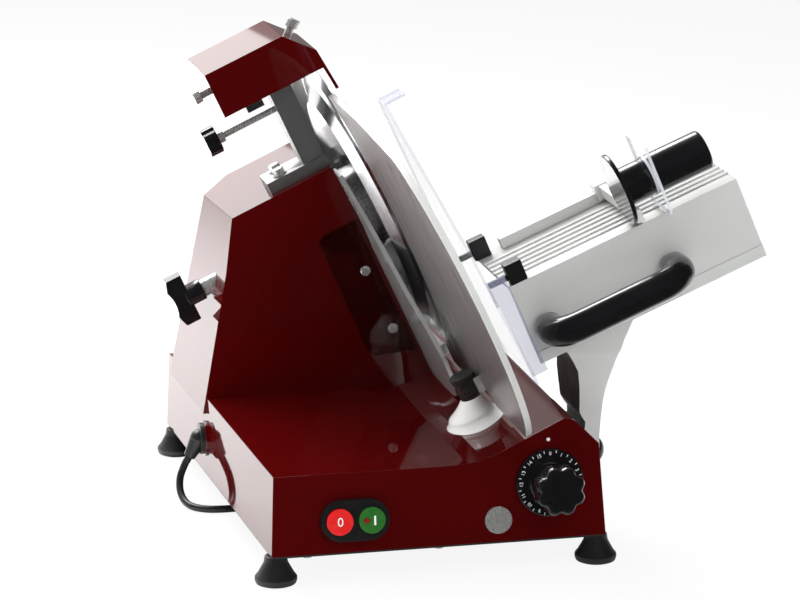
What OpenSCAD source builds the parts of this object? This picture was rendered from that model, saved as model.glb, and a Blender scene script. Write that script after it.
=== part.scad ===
// Electric gravity-feed food slicer: body, blade drive, gauge, sharpener and sliding carriage.
// Lengths in millimetres, +Z up, +X to the operator's right, +Y away from the operator.

/* [Base] */
// Right edge of the base at its bottom
base_right = 303; // [298:1:308]
// Left edge of the base at its front bottom corner
base_left = -4; // [-8:1:-2]
// Front edge of the base
base_front = -12; // [-16:1:-10]
// Rear edge of the base
base_rear = 436; // [432:1:445]
// Height of the flat top of the base
base_top = 100; // [98:1:103]
// Height of the underside of the casting above the table
base_floor = 28; // [26:1:29]
// Wall thickness of the casting
wall = 5; // [4:0.5:6]
// How far the left flank runs out towards the rear
flare = 20; // [16:1:24]
// Where the ramp leaves the flat top
ramp_foot = 186; // [184:1:188]
// Where the ramp has its crest
crest_x = 270; // [268:1:272]

/* [Column] */
// Front face of the column
column_front = 262; // [258:1:266]
// Rear face of the column
column_rear = 424; // [420:1:426]
// Top of the column above the blade axis, along the blade
column_top = 57; // [55:1:59]
// Distance of the column from the cutting plane
column_gap = 26; // [25.5:0.5:27]
// Lean of the left face of the column
column_lean = 10; // [9:0.5:11]

/* [Blade] */
// Blade diameter
blade_d = 300; // [294:1:300]
// Lean of the blade from upright
tilt = 25; // [24.5:0.5:25.5]
// Blade axis from the front left foot, to the right
blade_x = 160; // [159:1:161]
// Blade axis from the front left foot, to the rear
blade_y = 305; // [303:1:306]
// Blade axis above the table
blade_z = 276; // [275:1:278]
// Spindle diameter
spindle_d = 25; // [23:0.5:26]
// Running clearance of turning and sliding fits
run_gap = 0.05; // [0.03:0.01:0.08]

/* [Gauge] */
// Thickness of the gauge plate
gauge_t = 6; // [5:0.5:6]
// Radius of the rounded front of the gauge plate
gauge_r = 155; // [150:1:157]
// Largest slice thickness
slice_max = 15; // [10:1:15]
// Diameter of the gauge post
gauge_post_d = 20; // [18:1:21]
// Radius of the splash cone
cone_r = 31; // [30:1:35]

/* [Carriage] */
// Length of the food tray along its slope
tray_l = 222; // [216:1:230]
// Depth of the tray bed
tray_d = 118; // [114:1:122]
// Height of the front wall of the tray
tray_wall = 76; // [70:1:80]
// Lean of the tray bed
tray_lean = 23; // [22.5:0.5:23.5]
// Sheet thickness of the tray
tray_t = 3; // [2.5:0.5:3.5]
// Diameter of the carriage bar
bar_d = 22; // [20:1:23]
// Travel of the carriage
carriage_travel = 250; // [200:10:260]
// Diameter of the tray handle's grip
grip_d = 27; // [24:1:28]
// Diameter of the pusher handle
pusher_d = 36; // [32:1:38]

/* [Controls] */
// Diameter of the thickness dial
dial_d = 62; // [58:1:64]
// Diameter of the dial knob
dial_knob_d = 46; // [42:1:48]
// Diameter of the push buttons
button_d = 24; // [22:0.5:25]
// Travel of the push buttons
button_travel = 3; // [2:0.5:3.5]

/* [Sharpener] */
// Length of the hood along the blade axis
hood_l = 81; // [79:1:83]
// Depth of the hood
hood_d = 92; // [86:1:94]
// Height of the hood
hood_h = 45; // [44:1:47]
// Diameter of the pin that carries the sharpener
lift_pin_d = 16; // [14:1:17]

/* [Feet and cord] */
// Foot diameter at the table
foot_d = 38; // [36:1:40]
// Cord diameter
cord_d = 7; // [6.6:0.1:7.1]

/* [Hidden] */
$fn = 48;
// Shift that puts the middle of the object's box over the origin
frame_x = -193.55;
frame_y = -176.01;
ts = sin(tilt);
tc = cos(tilt);
tt = ts / tc;
blade_r = blade_d / 2;
// Height of the ramp crest and its round edge
crest_z = base_top + (crest_x - ramp_foot) * tt;
crest_r = 14;
// Radius and centre of the blend between flat top and ramp
blend_r = 120;
blend_x = ramp_foot - blend_r * tan(tilt / 2);
// Draft of the right wall and lean of the front face
side_draft = 0.07;
front_lean = 4;
flare_angle = atan(flare / (base_rear - base_front));
// The fold across the front face of the column, along the blade
fold_u = 14;
fold_lean = 16;
// Ramp surface below the blade axis, along the blade
ramp_u = -(crest_x - blade_x) * ts + (crest_z - blade_z) * tc;
// Feet and their screws
foot_x = [base_left + 6, base_right - 6, base_left - flare + 7, base_right - 13];
foot_y = [base_front + 12, base_front + 12, base_rear - 14, base_rear - 14];
foot_screw_r = 3;
foot_head_r = 7;
foot_seat = 11;
// Bottom plate and its screws
plate_t = 2;
plate_screw_x = [30, 150];
plate_screw_y = [base_front + 10, base_rear - 9];
small_screw_r = 2.5;
// Carriage bar, slider and tongue
bar_x = 203;
bar_z = 48;
slider_y = 46;
slider_l = 80;
slider_half = bar_d / 2 + 5;
slider_low = bar_z - bar_d / 2 - 3;
tongue_y = slider_y + 26;
tongue_w = 46;
tongue_h = 16;
tongue_in = 10;
slot_room = 2;
strip_x = 268;
slide_gap = 0.3;
// Carriage arm and its lock knob
arm_y = 30;
arm_top_d = 26;
arm_x = base_right + 0.8;
arm_t = 15;
arm_side = 6;
lock_y = tongue_y + 20;
lock_z = 77;
lock_r = 4;
lock_knob_r = 12;
// Flanks of the arm seen from the front, and its edges seen from the side
arm_inner = [
    [arm_x - 41.8, 360], [arm_x - 37.8, 215], [arm_x - 25.3, 186], [arm_x - 13.3, 166],
    [arm_x - 7.3, 132], [arm_x - 6.3, 122], [arm_x, 112]
];
arm_outer = [
    [arm_x + arm_t, 100], [arm_x + arm_t, 132], [arm_x + 17.2, 157], [arm_x + 27.2, 196],
    [arm_x + 46.2, 255], [arm_x + 50.2, 360]
];
arm_near = [
    [tongue_y - arm_side, 100], [tongue_y - 15, 132], [tongue_y - 26, 157], [tongue_y - 34, 180],
    [arm_y, 215], [arm_y, 400]
];
arm_far = [
    [arm_y + arm_top_d, 400], [arm_y + arm_top_d, 236], [tongue_y + 28, 182],
    [tongue_y + tongue_w + 8, 150], [tongue_y + tongue_w + 8, 122], [tongue_y + tongue_w + arm_side, 100]
];
// Corner of the tray at the top of its front wall, next to the gauge plate
tray_x = 198;
tray_y = -60;
tray_z = 274;
// Tray handle on the front wall
handle_x = [18, 140];
handle_z = -45;
handle_y = -42;
// Guide rail and pusher on the tray bed
rail_x = 24;
rail_w = 10;
rail_h = 10;
rail_y = tray_d - 14;
saddle_x = 121;
saddle_l = 24;
disc_x = 121;
disc_t = 4;
pusher_r = 33;
pusher_y = 4;
pusher_z = 36;
shield_x = disc_x + 30;
// Hand guard beside the gauge plate, with the flange along its front edge and its blocks on the tray
guard_n = 16;
guard_t = 3;
guard_low = -100;
flange_w = 18;
flange_top = -4;
block_at = [[3, 0], [-3, 104]];
block_w = [16, 12, 19];
stud_r = 3;
stud_z = 7;
// Dial and switch on the front face
dial_x = 250;
dial_z = 80;
dial_shaft_r = 6;
switch_x = 71;
switch_z = 58;
switch_t = 8;
switch_half = 12.5;
switch_r = 18.5;
switch_rim = 3.5;
button_gap = 29;
lamp_r = 2.5;
// Places of the drive along the blade axis
bearing_w = 15;
bearing_n = [-50, -90];
bearing_r = 26;
pulley_n = -112;
pulley_w = 14;
driven_r = 31;
drive_r = 9;
motor_y = 46;
motor_u = -96;
motor_r = 48;
motor_back = -186;
motor_front = -118;
motor_wall = 5;
motor_lug = 40;
rotor_r = 31.5;
rotor_gap = 1.5;
motor_shaft_r = 7;
hub_r = 20;
tie_r = 6;
tie_collar_r = 8.5;
// Screws of the blade and of the ring guard
blade_screw_y = 32;
ring_screw_at = [[75, 27], [61, -51], [-14, -79]];
ring_plate_t = 4;
ring_pad_t = 6;
deflector_screw_u = [-45, -109];
deflector_screw_n = -42;
// Sharpener post, hood and pins in the frame of the blade
post_w = 22;
post_n = -column_gap - post_w;
post_d = 30;
post_foot_h = 11;
bolt_n = post_n - 24;
bolt_y = [-10, 10];
bolt_r = 3;
hood_u = blade_r + 1;
hood_n = -98;
hood_t = 3;
slope_n = 7;
slope_u = hood_u + 18;
post_top = hood_u - 8;
lift_pin_u = hood_u - 64;
lock_u = hood_u - 26;
lock_rod_r = 3;
grind_u = hood_u + 22;
grind_y = -13;
burr_y = 8;
pin_r = 4;
pin_button_r = 6.5;
// Gauge plate, its post and the guide rod below the ramp
gauge_y = -267;
gauge_low = ramp_u + 12.5;
gauge_cut = 18;
gauge_u = gauge_low - gauge_cut + gauge_r;
cone_h = 10;
cone_sink = 2;
cone_notch = 16;
gauge_post_n = -20;
gauge_post_y = -210;
gauge_slot_r = gauge_post_d / 2 + 1;
rod_u = ramp_u - 19;
rod_r = 5;
rod_n = [-78, 24];
rod_lug = 8;
// Cord gland on the left flank
gland_x = base_left - 13;
gland_y = 262;
gland_z = 61;
gland_l = 20;
gland_lean = 30;
gland_flange = 4;
gland_hole_r = 8;
// Route of the cord from the gland over the table and below the base to the coil
cord_route = [
    [-31, 262, 43.7], [-33, 262, 40.2], [-35, 262, 36.8], [-40.2, 259.4, 25], [-41.8, 252, 14.2],
    [-39.6, 241.4, 6.8], [-34, 229.7, 4], [-23, 219.4, 3.8], [-8.5, 215.6, 3.8], [8, 215.6, 3.8],
    [25, 215.6, 3.8], [42.2, 219, 3.8], [56.8, 228.8, 3.8], [66.6, 243.4, 3.8], [70, 260.6, 3.8],
    [70, 300, 3.8], [70, 340, 3.8], [70, 380, 3.8], [70, 420, 3.8], [70, 450, 4.4], [70, 478, 5.2],
    [70, 487, 5.2], [70, 495, 5.2]
];
// Coil: spiral in on the table, climb in half a turn, spiral out on top
coil_start = cord_route[len(cord_route) - 1];
coil_y = coil_start[1] + 10;
coil_out = 49.5;
coil_pitch = 7.8;
coil_turns = 2.25;
coil_in = coil_out - coil_pitch * coil_turns;
coil_step = 7.6;
coil_rings = 24;
coil_sides = 6;
coil_end = [coil_start[0], coil_y + 42, 15];
tie_t = 1;
tie_gap = 0.4;

// Moves a piece into the frame of the whole object
module placed() {
    translate([frame_x, frame_y, 0]) children();
}

// Puts a child into the frame of the blade: x along its axis, z up along its face
module tilted() {
    translate([blade_x, blade_y, blade_z]) rotate([0, -tilt, 0]) children();
}

// A disc across the blade axis from n0 to n1
module disc_n(r, n0, n1) {
    translate([n0, 0, 0]) rotate([0, 90, 0]) cylinder(r = r, h = n1 - n0);
}

// Puts a child into the frame of the tray: x up its slope, z up from its bed
module on_tray() {
    translate([tray_x, tray_y, tray_z]) rotate([0, -tray_lean, 0]) children();
}

// Draws in the plane of the front face: x right, y up, z towards the operator
module on_front(x, z) {
    translate([x, base_front + (z - base_floor) * tan(front_lean), z]) rotate([90 - front_lean, 0, 0])
        children();
}

// Everything left of a leaning, flaring plane
module left_side(x, z, lean, inset) {
    translate([x + inset, base_front, z]) rotate([0, lean, flare_angle])
        translate([-300, -100, -300]) cube([300, 700, 700]);
}

function crest_at(i) = let (dx = i * (1 / tc - sqrt(2)) / (tt + 1))
    [crest_x + dx, crest_z - dx - i * sqrt(2)];
function shoulder_at(i) = let (
        edge = crest_z + crest_x - i * sqrt(2),
        x = (base_right - i - side_draft * (edge - base_floor)) / (1 - side_draft))
    [x, edge - x];
// Cross-section of the base, drawn inwards by i
function base_section(i) = concat(
    [[-100, i > 0 ? base_floor - 5 : base_floor]],
    [[base_right - i, i > 0 ? base_floor - 5 : base_floor]],
    [shoulder_at(i)],
    [for (a = [45:10:90 + tilt]) crest_at(crest_r) + (crest_r - i) * [cos(a), sin(a)]],
    [for (a = [tilt:-2.5:0]) [blend_x + (blend_r + i) * sin(a), base_top + blend_r - (blend_r + i) * cos(a)]],
    [[-100, base_top - i]]
);

module base_form(i) {
    difference() {
        translate([0, base_rear - i, 0]) rotate([90, 0, 0]) linear_extrude(base_rear - base_front + 40)
            polygon(base_section(i));
        left_side(base_left, base_floor, 2.5, i);
        translate([-200, base_front + i, base_floor]) rotate([-front_lean, 0, 0]) translate([0, -200, -100])
            cube([700, 200, 400]);
    }
}

module column_form(i) {
    intersection() {
        difference() {
            tilted() translate([-400, column_front - blade_y + i, -400])
                cube([400 - column_gap - i, column_rear - column_front - 2 * i, 400 + column_top - i]);
            left_side(base_left + 2, base_top, column_lean, i);
            tilted() translate([-300, column_front - blade_y + i, fold_u - i * 0.2]) rotate([-fold_lean, 0, 0])
                translate([0, -100, 0]) cube([400, 100, 200]);
            translate([base_left - 79 + i * 1.4, column_rear - 50, 0]) rotate([0, 12, -40])
                translate([-100, 0, -200]) cube([100, 200, 800]);
        }
        translate([-100, 0, i > 0 ? base_top - wall - 0.5 : base_top - 15]) cube([500, 500, 500]);
    }
}

// Bosses, lugs and pads inside the casting
module casting_bosses() {
    intersection() {
        column_form(0);
        tilted() disc_n(bearing_r + 8, -92, -column_gap - 1);
    }
    intersection() {
        base_form(0);
        union() {
            translate([bar_x, base_front + 14, bar_z]) rotate([90, 0, 0]) cylinder(r = bar_d / 2 + 8, h = 60);
            translate([bar_x, base_rear + 1, bar_z]) rotate([90, 0, 0]) cylinder(r = bar_d / 2 + 8, h = 22);
            tilted() for (n = rod_n)
                translate([n, gauge_post_y - 9, rod_u - rod_r - 4]) cube([rod_lug, 18, 80]);
            for (k = [0:3])
                translate([foot_x[k], foot_y[k], base_floor]) cylinder(r = 14, h = 20);
            for (x = plate_screw_x, y = plate_screw_y)
                translate([x, y, base_floor]) cylinder(r = 7, h = 12);
        }
    }
    intersection() {
        translate([gland_x, gland_y, gland_z]) rotate([0, 90, 0]) cylinder(r = 17, h = 30);
        translate([gland_x, 0, 0]) cube([17, 500, 500]);
    }
}

module body_casting() {
    color([0.45, 0.03, 0.05])
    difference() {
        union() {
            difference() {
                union() {
                    base_form(0);
                    column_form(0);
                }
                base_form(wall);
                column_form(wall);
            }
            casting_bosses();
        }
        // Bores of the spindle and of the tie rod
        tilted() disc_n(bearing_r + run_gap, -93, -34);
        tilted() disc_n(spindle_d / 2 + 2, -60, 0);
        tilted() disc_n(tie_collar_r + run_gap, -230, -150);
        // Screw holes of ring guard, deflector and sharpener post
        tilted() for (p = ring_screw_at)
            translate([0, p[0], p[1]]) disc_n(small_screw_r + run_gap, -column_gap - wall - 6, 0);
        tilted() for (u = deflector_screw_u)
            translate([deflector_screw_n, column_front - blade_y + wall + 3, u]) rotate([90, 0, 0])
                cylinder(r = small_screw_r + run_gap, h = wall + 6);
        tilted() for (y = bolt_y)
            translate([bolt_n, y, column_top - wall - 3]) cylinder(r = bolt_r + run_gap, h = 20);
        // Bore of the carriage bar
        translate([bar_x, base_rear + 1, bar_z]) rotate([90, 0, 0]) cylinder(r = bar_d / 2 + run_gap, h = 500);
        // Openings of switch and dial
        on_front(switch_x, switch_z) translate([0, 0, -20]) oblong(switch_half + 1, switch_r - switch_rim, 40);
        on_front(dial_x, dial_z) translate([0, 0, -30]) cylinder(r = dial_shaft_r + run_gap, h = 60);
        // Slot of the gauge post in the ramp
        tilted() translate([gauge_post_n - slice_max - gauge_slot_r, gauge_post_y - gauge_slot_r, ramp_u - 10])
            cube([slice_max + 2 * gauge_slot_r, 2 * gauge_slot_r, 30]);
        // Slot of the carriage tongue in the right wall
        translate([base_right - 20, tongue_y - slot_room, slider_low - slot_room])
            cube([60, carriage_travel + tongue_w + 2 * slot_room, tongue_h + 2 * slot_room]);
        // Hole of the cord
        translate([-60, gland_y, gland_z]) rotate([0, 90, 0]) cylinder(r = gland_hole_r + run_gap, h = 80);
        // Bore of the guide rod
        tilted() translate([0, gauge_post_y, rod_u]) disc_n(rod_r + run_gap, rod_n[0] - 1, rod_n[1] + 4);
        // Screw holes of the feet and of the bottom plate
        for (k = [0:3])
            translate([foot_x[k], foot_y[k], base_floor - 1]) cylinder(r = foot_screw_r + run_gap, h = 18);
        for (x = plate_screw_x, y = plate_screw_y)
            translate([x, y, base_floor - 1]) cylinder(r = small_screw_r + run_gap, h = 10);
    }
}

module bottom_plate() {
    color([0.06, 0.06, 0.06])
    difference() {
        translate([-100, base_front + 1, base_floor - plate_t])
            cube([100 + base_right - 1, base_rear - base_front - 2, plate_t]);
        left_side(base_left, base_floor, 0, 1);
        for (k = [0:3])
            translate([foot_x[k], foot_y[k], 0]) cylinder(r = foot_screw_r + run_gap, h = 60);
        for (x = plate_screw_x, y = plate_screw_y)
            translate([x, y, 0]) cylinder(r = small_screw_r + run_gap, h = 60);
    }
}

module plate_screws() {
    color([0.7, 0.7, 0.7])
    for (x = plate_screw_x, y = plate_screw_y)
        translate([x, y, base_floor - plate_t - 2.5]) union() {
            cylinder(r = 4.5, h = 2.5);
            cylinder(r = small_screw_r, h = 9);
        }
}

module rubber_feet() {
    color([0.05, 0.05, 0.05])
    for (k = [0:3])
        translate([foot_x[k], foot_y[k], 0]) rotate_extrude()
            polygon([[foot_head_r + 1, 0], [foot_d / 2 - 4, 0], [foot_d / 2 - 1, 1.2], [foot_d / 2, 4],
                [foot_d / 2, 7], [foot_d / 2 - 2.5, 10], [foot_d / 2 - 8, 20],
                [foot_d / 2 - 9, base_floor - plate_t], [foot_screw_r + run_gap, base_floor - plate_t],
                [foot_screw_r + run_gap, foot_seat], [foot_head_r + 1, foot_seat]]);
}

module foot_screws() {
    color([0.6, 0.6, 0.6])
    for (k = [0:3])
        translate([foot_x[k], foot_y[k], 0]) union() {
            translate([0, 0, foot_seat - 3]) cylinder(r = foot_head_r, h = 3);
            translate([0, 0, foot_seat - 1]) cylinder(r = foot_screw_r, h = base_floor + 14 - foot_seat);
        }
}

module motor_case() {
    color([0.35, 0.36, 0.38])
    tilted() difference() {
        union() {
            translate([0, motor_y, motor_u]) disc_n(motor_r, motor_back, motor_front);
            translate([motor_back + 14, motor_y + motor_r - 8, motor_u - motor_lug / 2])
                cube([motor_lug, column_rear - wall - blade_y - motor_y - motor_r + 8, motor_lug]);
        }
        translate([0, motor_y, motor_u])
            disc_n(rotor_r + rotor_gap, motor_back + motor_wall, motor_front - motor_wall);
        translate([0, motor_y, motor_u]) disc_n(motor_shaft_r + run_gap, motor_back - 1, motor_front + 1);
    }
}

module motor_shaft() {
    color([0.75, 0.76, 0.78])
    tilted() translate([0, motor_y, motor_u]) union() {
        disc_n(motor_shaft_r, motor_back + 2, pulley_n + pulley_w + 2);
        disc_n(rotor_r, motor_back + motor_wall + 2 * rotor_gap, motor_front - motor_wall - 2 * rotor_gap);
        disc_n(drive_r, pulley_n, pulley_n + pulley_w);
    }
}

module belt_outline(extra) {
    hull() {
        circle(r = driven_r + extra);
        translate([motor_y, motor_u]) circle(r = drive_r + extra, $fn = 32);
    }
}

module drive_belt() {
    color([0.05, 0.05, 0.05])
    tilted() translate([pulley_n + 2, 0, 0]) rotate([90, 0, 90]) linear_extrude(pulley_w - 4) difference() {
        belt_outline(3.4);
        belt_outline(0.4);
    }
}

module driven_pulley() {
    color([0.7, 0.71, 0.73])
    tilted() difference() {
        disc_n(driven_r, pulley_n, pulley_n + pulley_w);
        disc_n(spindle_d / 2 + run_gap, pulley_n - 1, pulley_n + pulley_w + 1);
    }
}

module spindle_bearings() {
    color([0.8, 0.8, 0.82])
    tilted() for (n = bearing_n)
        difference() {
            disc_n(bearing_r, n, n + bearing_w);
            disc_n(spindle_d / 2 + run_gap, n - 1, n + bearing_w + 1);
        }
}

// Screw holes of the blade in the spindle's flange
module blade_holes() {
    for (a = [30:120:270])
        rotate([a, 0, 0]) translate([0, blade_screw_y, 0]) disc_n(small_screw_r + run_gap, -21, -8);
}

module spindle() {
    color([0.75, 0.76, 0.78])
    tilted() difference() {
        union() {
            disc_n(spindle_d / 2, pulley_n - 6, -15);
            disc_n(42, -20, -14);
            disc_n(hub_r - run_gap, -15, -10);
        }
        disc_n(tie_r + 1, pulley_n - 10, 0);
        blade_holes();
    }
}

module blade() {
    color([0.78, 0.79, 0.81])
    tilted() difference() {
        rotate([0, 90, 0]) rotate_extrude($fn = 128)
            polygon([[hub_r, -14], [112, -14], [127, -6], [137, -4.5], [blade_r, -0.4], [blade_r, 0], [128, 0],
                [117, -10], [hub_r, -10]]);
        blade_holes();
    }
}

module blade_screws() {
    color([0.6, 0.6, 0.62])
    tilted() for (a = [30:120:270])
        rotate([a, 0, 0]) translate([0, blade_screw_y, 0]) union() {
            disc_n(small_screw_r, -19.5, -9);
            disc_n(5, -10, -7.5);
        }
}

module blade_cover() {
    color([0.8, 0.81, 0.82])
    tilted() difference() {
        union() {
            disc_n(112, -5.5, -1);
            disc_n(11, -9, -5);
        }
        disc_n(tie_r + run_gap, -10, -3);
    }
}

module tie_rod() {
    color([0.75, 0.76, 0.78])
    tilted() union() {
        disc_n(tie_r, -206, -3.5);
        disc_n(tie_collar_r, -186, -158);
    }
}

module wing_knob() {
    color([0.04, 0.04, 0.04])
    tilted() difference() {
        union() {
            disc_n(10.5, -204, -186);
            intersection() {
                translate([-220, -8, -24]) cube([20, 16, 48]);
                translate([-160, 0, 0]) rotate([90, 0, 0]) cylinder(r = 60, h = 40, center = true);
            }
        }
        disc_n(tie_r + run_gap, -206.2, -180);
        translate([-250, 0, 0]) rotate([90, 0, 0]) cylinder(r = 34, h = 40, center = true);
    }
}

// Back plate of the ring guard with its apron towards the operator
module ring_plate() {
    translate([-column_gap, 0, 0]) rotate([90, 0, 90]) linear_extrude(ring_plate_t) difference() {
        polygon([[112, 40], [112, -80], [60, -178], [-43, -178], [-132, -168], [-152, -162],
            [-168, -146], [-178, -112], [-163, -86], [-134, -60], [-109, -15], [-48, 50], [80, 50]]);
        circle(r = 52);
    }
}

module ring_guard() {
    color([0.8, 0.81, 0.82])
    difference() {
        tilted() difference() {
            union() {
                ring_plate();
                difference() {
                    disc_n(blade_r + 14, -column_gap + ring_plate_t, -2);
                    disc_n(blade_r + 4, -column_gap, 0);
                    translate([-column_gap, 0, 0]) rotate([90, 0, 90]) linear_extrude(40)
                        polygon([[0, 0], [100, 300], [-400, 300], [-400, -400], [-150, -400]]);
                }
                intersection() {
                    disc_n(blade_r + 14, -column_gap, -column_gap + ring_pad_t);
                    translate([-column_gap, 56, -80]) cube([ring_pad_t, 124, 130]);
                }
                translate([0, ring_screw_at[2][0], ring_screw_at[2][1]])
                    disc_n(8, -column_gap, -column_gap + ring_pad_t);
            }
            for (p = ring_screw_at)
                translate([0, p[0], p[1]]) disc_n(small_screw_r + run_gap, -60, 0);
        }
        base_form(0);
    }
}

module ring_screws() {
    color([0.6, 0.6, 0.62])
    tilted() for (p = ring_screw_at)
        translate([0, p[0], p[1]]) union() {
            disc_n(small_screw_r, -column_gap - wall - 3, -column_gap + ring_pad_t + 1);
            disc_n(4.5, -column_gap + ring_pad_t, -column_gap + ring_pad_t + 2);
        }
}

module slice_deflector() {
    color([0.12, 0.02, 0.03])
    tilted() translate([0, column_front - blade_y, 0]) difference() {
        rotate([90, 0, 0]) linear_extrude(3)
            polygon([[-70, 0], [-64, 4], [-30, 4], [-30, -140], [-68, -126], [-73, -118]]);
        for (u = deflector_screw_u)
            translate([deflector_screw_n, 1, u]) rotate([90, 0, 0])
                cylinder(r = small_screw_r + run_gap, h = 10);
    }
}

module deflector_screws() {
    color([0.78, 0.78, 0.8])
    tilted() for (u = deflector_screw_u)
        translate([deflector_screw_n, column_front - blade_y - 3, u]) rotate([90, 0, 0]) union() {
            cylinder(r = 5, h = 2);
            translate([0, 0, -7]) cylinder(r = small_screw_r, h = 8);
        }
}

module sharpener_post() {
    color([0.62, 0.63, 0.64])
    tilted() difference() {
        union() {
            translate([post_n - 40, -20, column_top]) cube([40 + post_w, 40, post_foot_h]);
            translate([post_n, -post_d / 2, column_top]) cube([post_w, post_d, post_top - column_top]);
        }
        translate([post_n + post_w / 2, 0, lift_pin_u]) cylinder(r = lift_pin_d / 2 + run_gap, h = 100);
        translate([0, 0, lock_u]) disc_n(lock_rod_r + run_gap, post_n - 1, post_n + post_w / 2);
        for (y = bolt_y)
            translate([bolt_n, y, column_top - 1]) cylinder(r = bolt_r + run_gap, h = 20);
    }
}

module post_bolts() {
    color([0.7, 0.71, 0.73])
    tilted() for (y = bolt_y)
        translate([bolt_n, y, column_top]) union() {
            translate([0, 0, -wall - 2]) cylinder(r = bolt_r, h = wall + post_foot_h + 3);
            translate([0, 0, post_foot_h]) cylinder(r = 7, h = 1.5);
            translate([0, 0, post_foot_h + 1.5]) cylinder(r = 5.8, h = 5, $fn = 6);
        }
}

// Axis of the right push pin, square to the sloping end of the hood
module burr_axis() {
    translate([(hood_n + hood_l + slope_n) / 2, burr_y, (hood_u + hood_h + slope_u) / 2])
        rotate([0, atan2(hood_u + hood_h - slope_u, slope_n - hood_n - hood_l), 0]) children();
}

module sharpener_hood() {
    color([0.45, 0.03, 0.05])
    tilted() difference() {
        translate([0, hood_d / 2, 0]) rotate([90, 0, 0]) linear_extrude(hood_d)
            polygon([[hood_n, hood_u], [hood_n, hood_u + hood_h], [hood_n + hood_l, hood_u + hood_h],
                [slope_n, slope_u], [11, hood_u - 24], [8, hood_u - 24], [5.5, hood_u]]);
        translate([0, hood_d / 2 - hood_t, 0]) rotate([90, 0, 0]) linear_extrude(hood_d - 2 * hood_t)
            polygon([[hood_n + hood_t, hood_u - 1], [hood_n + hood_t, hood_u + hood_h - hood_t],
                [hood_n + hood_l - 1.5, hood_u + hood_h - hood_t], [slope_n - 3.5, slope_u - 1],
                [3, hood_u - 1]]);
        translate([0, grind_y, grind_u]) disc_n(pin_r + run_gap, hood_n - 1, hood_n + 10);
        burr_axis() cylinder(r = pin_r + run_gap, h = 40, center = true);
    }
}

module sharpener_frame() {
    color([0.1, 0.1, 0.1])
    tilted() difference() {
        union() {
            translate([hood_n + 12, -20, hood_u + 2]) cube([58, 40, hood_h - hood_t - 2]);
            translate([hood_n + 24, -20, hood_u - 13]) cube([17, 26, 16]);
            translate([post_n + post_w / 2, 0, lift_pin_u])
                cylinder(r = lift_pin_d / 2, h = hood_u + 7 - lift_pin_u);
        }
        translate([0, grind_y, grind_u]) disc_n(pin_r + run_gap, hood_n, 20);
    }
}

module grinding_pin() {
    color([0.75, 0.76, 0.78])
    tilted() translate([0, grind_y, grind_u]) union() {
        disc_n(pin_r, hood_n - 9.5, -24);
        disc_n(pin_button_r, hood_n - 16, hood_n - 9);
        disc_n(12, -26, -20);
    }
}

module deburring_pin() {
    color([0.75, 0.76, 0.78])
    tilted() burr_axis() union() {
        translate([0, 0, -9]) cylinder(r = pin_r, h = 17);
        translate([0, 0, 7]) cylinder(r = pin_button_r, h = 8);
        translate([0, 0, -13]) cylinder(r = 6, h = 4.5);
    }
}

module sharpener_knob() {
    color([0.04, 0.04, 0.04])
    tilted() translate([0, 0, lock_u]) union() {
        disc_n(lock_rod_r, post_n - 62, post_n + 2);
        disc_n(6, post_n - 62, post_n - 55);
        difference() {
            disc_n(13.5, post_n - 74, post_n - 61);
            for (a = [0:60:300])
                rotate([a, 0, 0]) translate([0, 16, 0]) disc_n(4.5, post_n - 80, post_n - 50);
        }
    }
}

// Outline of the gauge plate in the plane of the blade: round front, flat lower edge, hollow at the blade
module gauge_outline() {
    difference() {
        intersection() {
            union() {
                translate([gauge_y, gauge_u]) circle(r = gauge_r, $fn = 96);
                translate([gauge_y, gauge_u - gauge_r]) square([192, 2 * gauge_r]);
            }
            polygon([[-600, gauge_low], [-600, 96], [-350, 120], [-119, 142], [0, 153], [0, gauge_low]]);
        }
        circle(r = blade_r + 7, $fn = 96);
        translate([gauge_post_y - cone_r + 6, ramp_u]) square([2 * (cone_r - 6), cone_notch + slot_room]);
    }
}

module gauge_plate() {
    color([0.66, 0.65, 0.63])
    tilted() union() {
        translate([-gauge_t, 0, 0]) rotate([90, 0, 90]) linear_extrude(gauge_t) gauge_outline();
        difference() {
            translate([gauge_post_n + gauge_post_d / 2 - 4, gauge_post_y - 7, ramp_u + 24])
                cube([4 - gauge_post_n - gauge_post_d / 2 - gauge_t / 2, 14, 16]);
            translate([gauge_post_n, gauge_post_y, ramp_u]) cylinder(r = gauge_post_d / 2 + run_gap, h = 60);
        }
    }
}

module gauge_post() {
    color([0.3, 0.31, 0.32])
    tilted() translate([gauge_post_n, gauge_post_y, 0]) difference() {
        union() {
            translate([0, 0, rod_u - 8]) cylinder(r = gauge_post_d / 2, h = ramp_u + 51 - rod_u);
            translate([0, 0, ramp_u + 42]) cylinder(r = gauge_post_d / 2 + 2, h = 4);
        }
        translate([0, 0, rod_u]) disc_n(rod_r + run_gap, -30, 30);
    }
}

// Cone on the ramp round the slot of the gauge post
module splash_cone() {
    color([0.8, 0.81, 0.82])
    difference() {
        tilted() translate([gauge_post_n - slice_max / 2, gauge_post_y, ramp_u]) difference() {
            rotate_extrude()
                polygon([[0, -cone_sink], [cone_r + 2, -cone_sink], [cone_r, 0], [cone_r - 5, 3.5], [cone_r - 8, 6.5],
                    [cone_r - 10, cone_h], [0, cone_h]]);
            for (n = [-slice_max / 2, slice_max / 2])
                translate([n, 0, -10]) cylinder(r = gauge_slot_r, h = 40);
            translate([-slice_max / 2, -gauge_slot_r, -10]) cube([slice_max, 2 * gauge_slot_r, 40]);
        }
        base_form(0);
        tilted() translate([-80, gauge_post_y - 50, ramp_u - 40]) cube([120, 100, 40]);
    }
}

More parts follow.
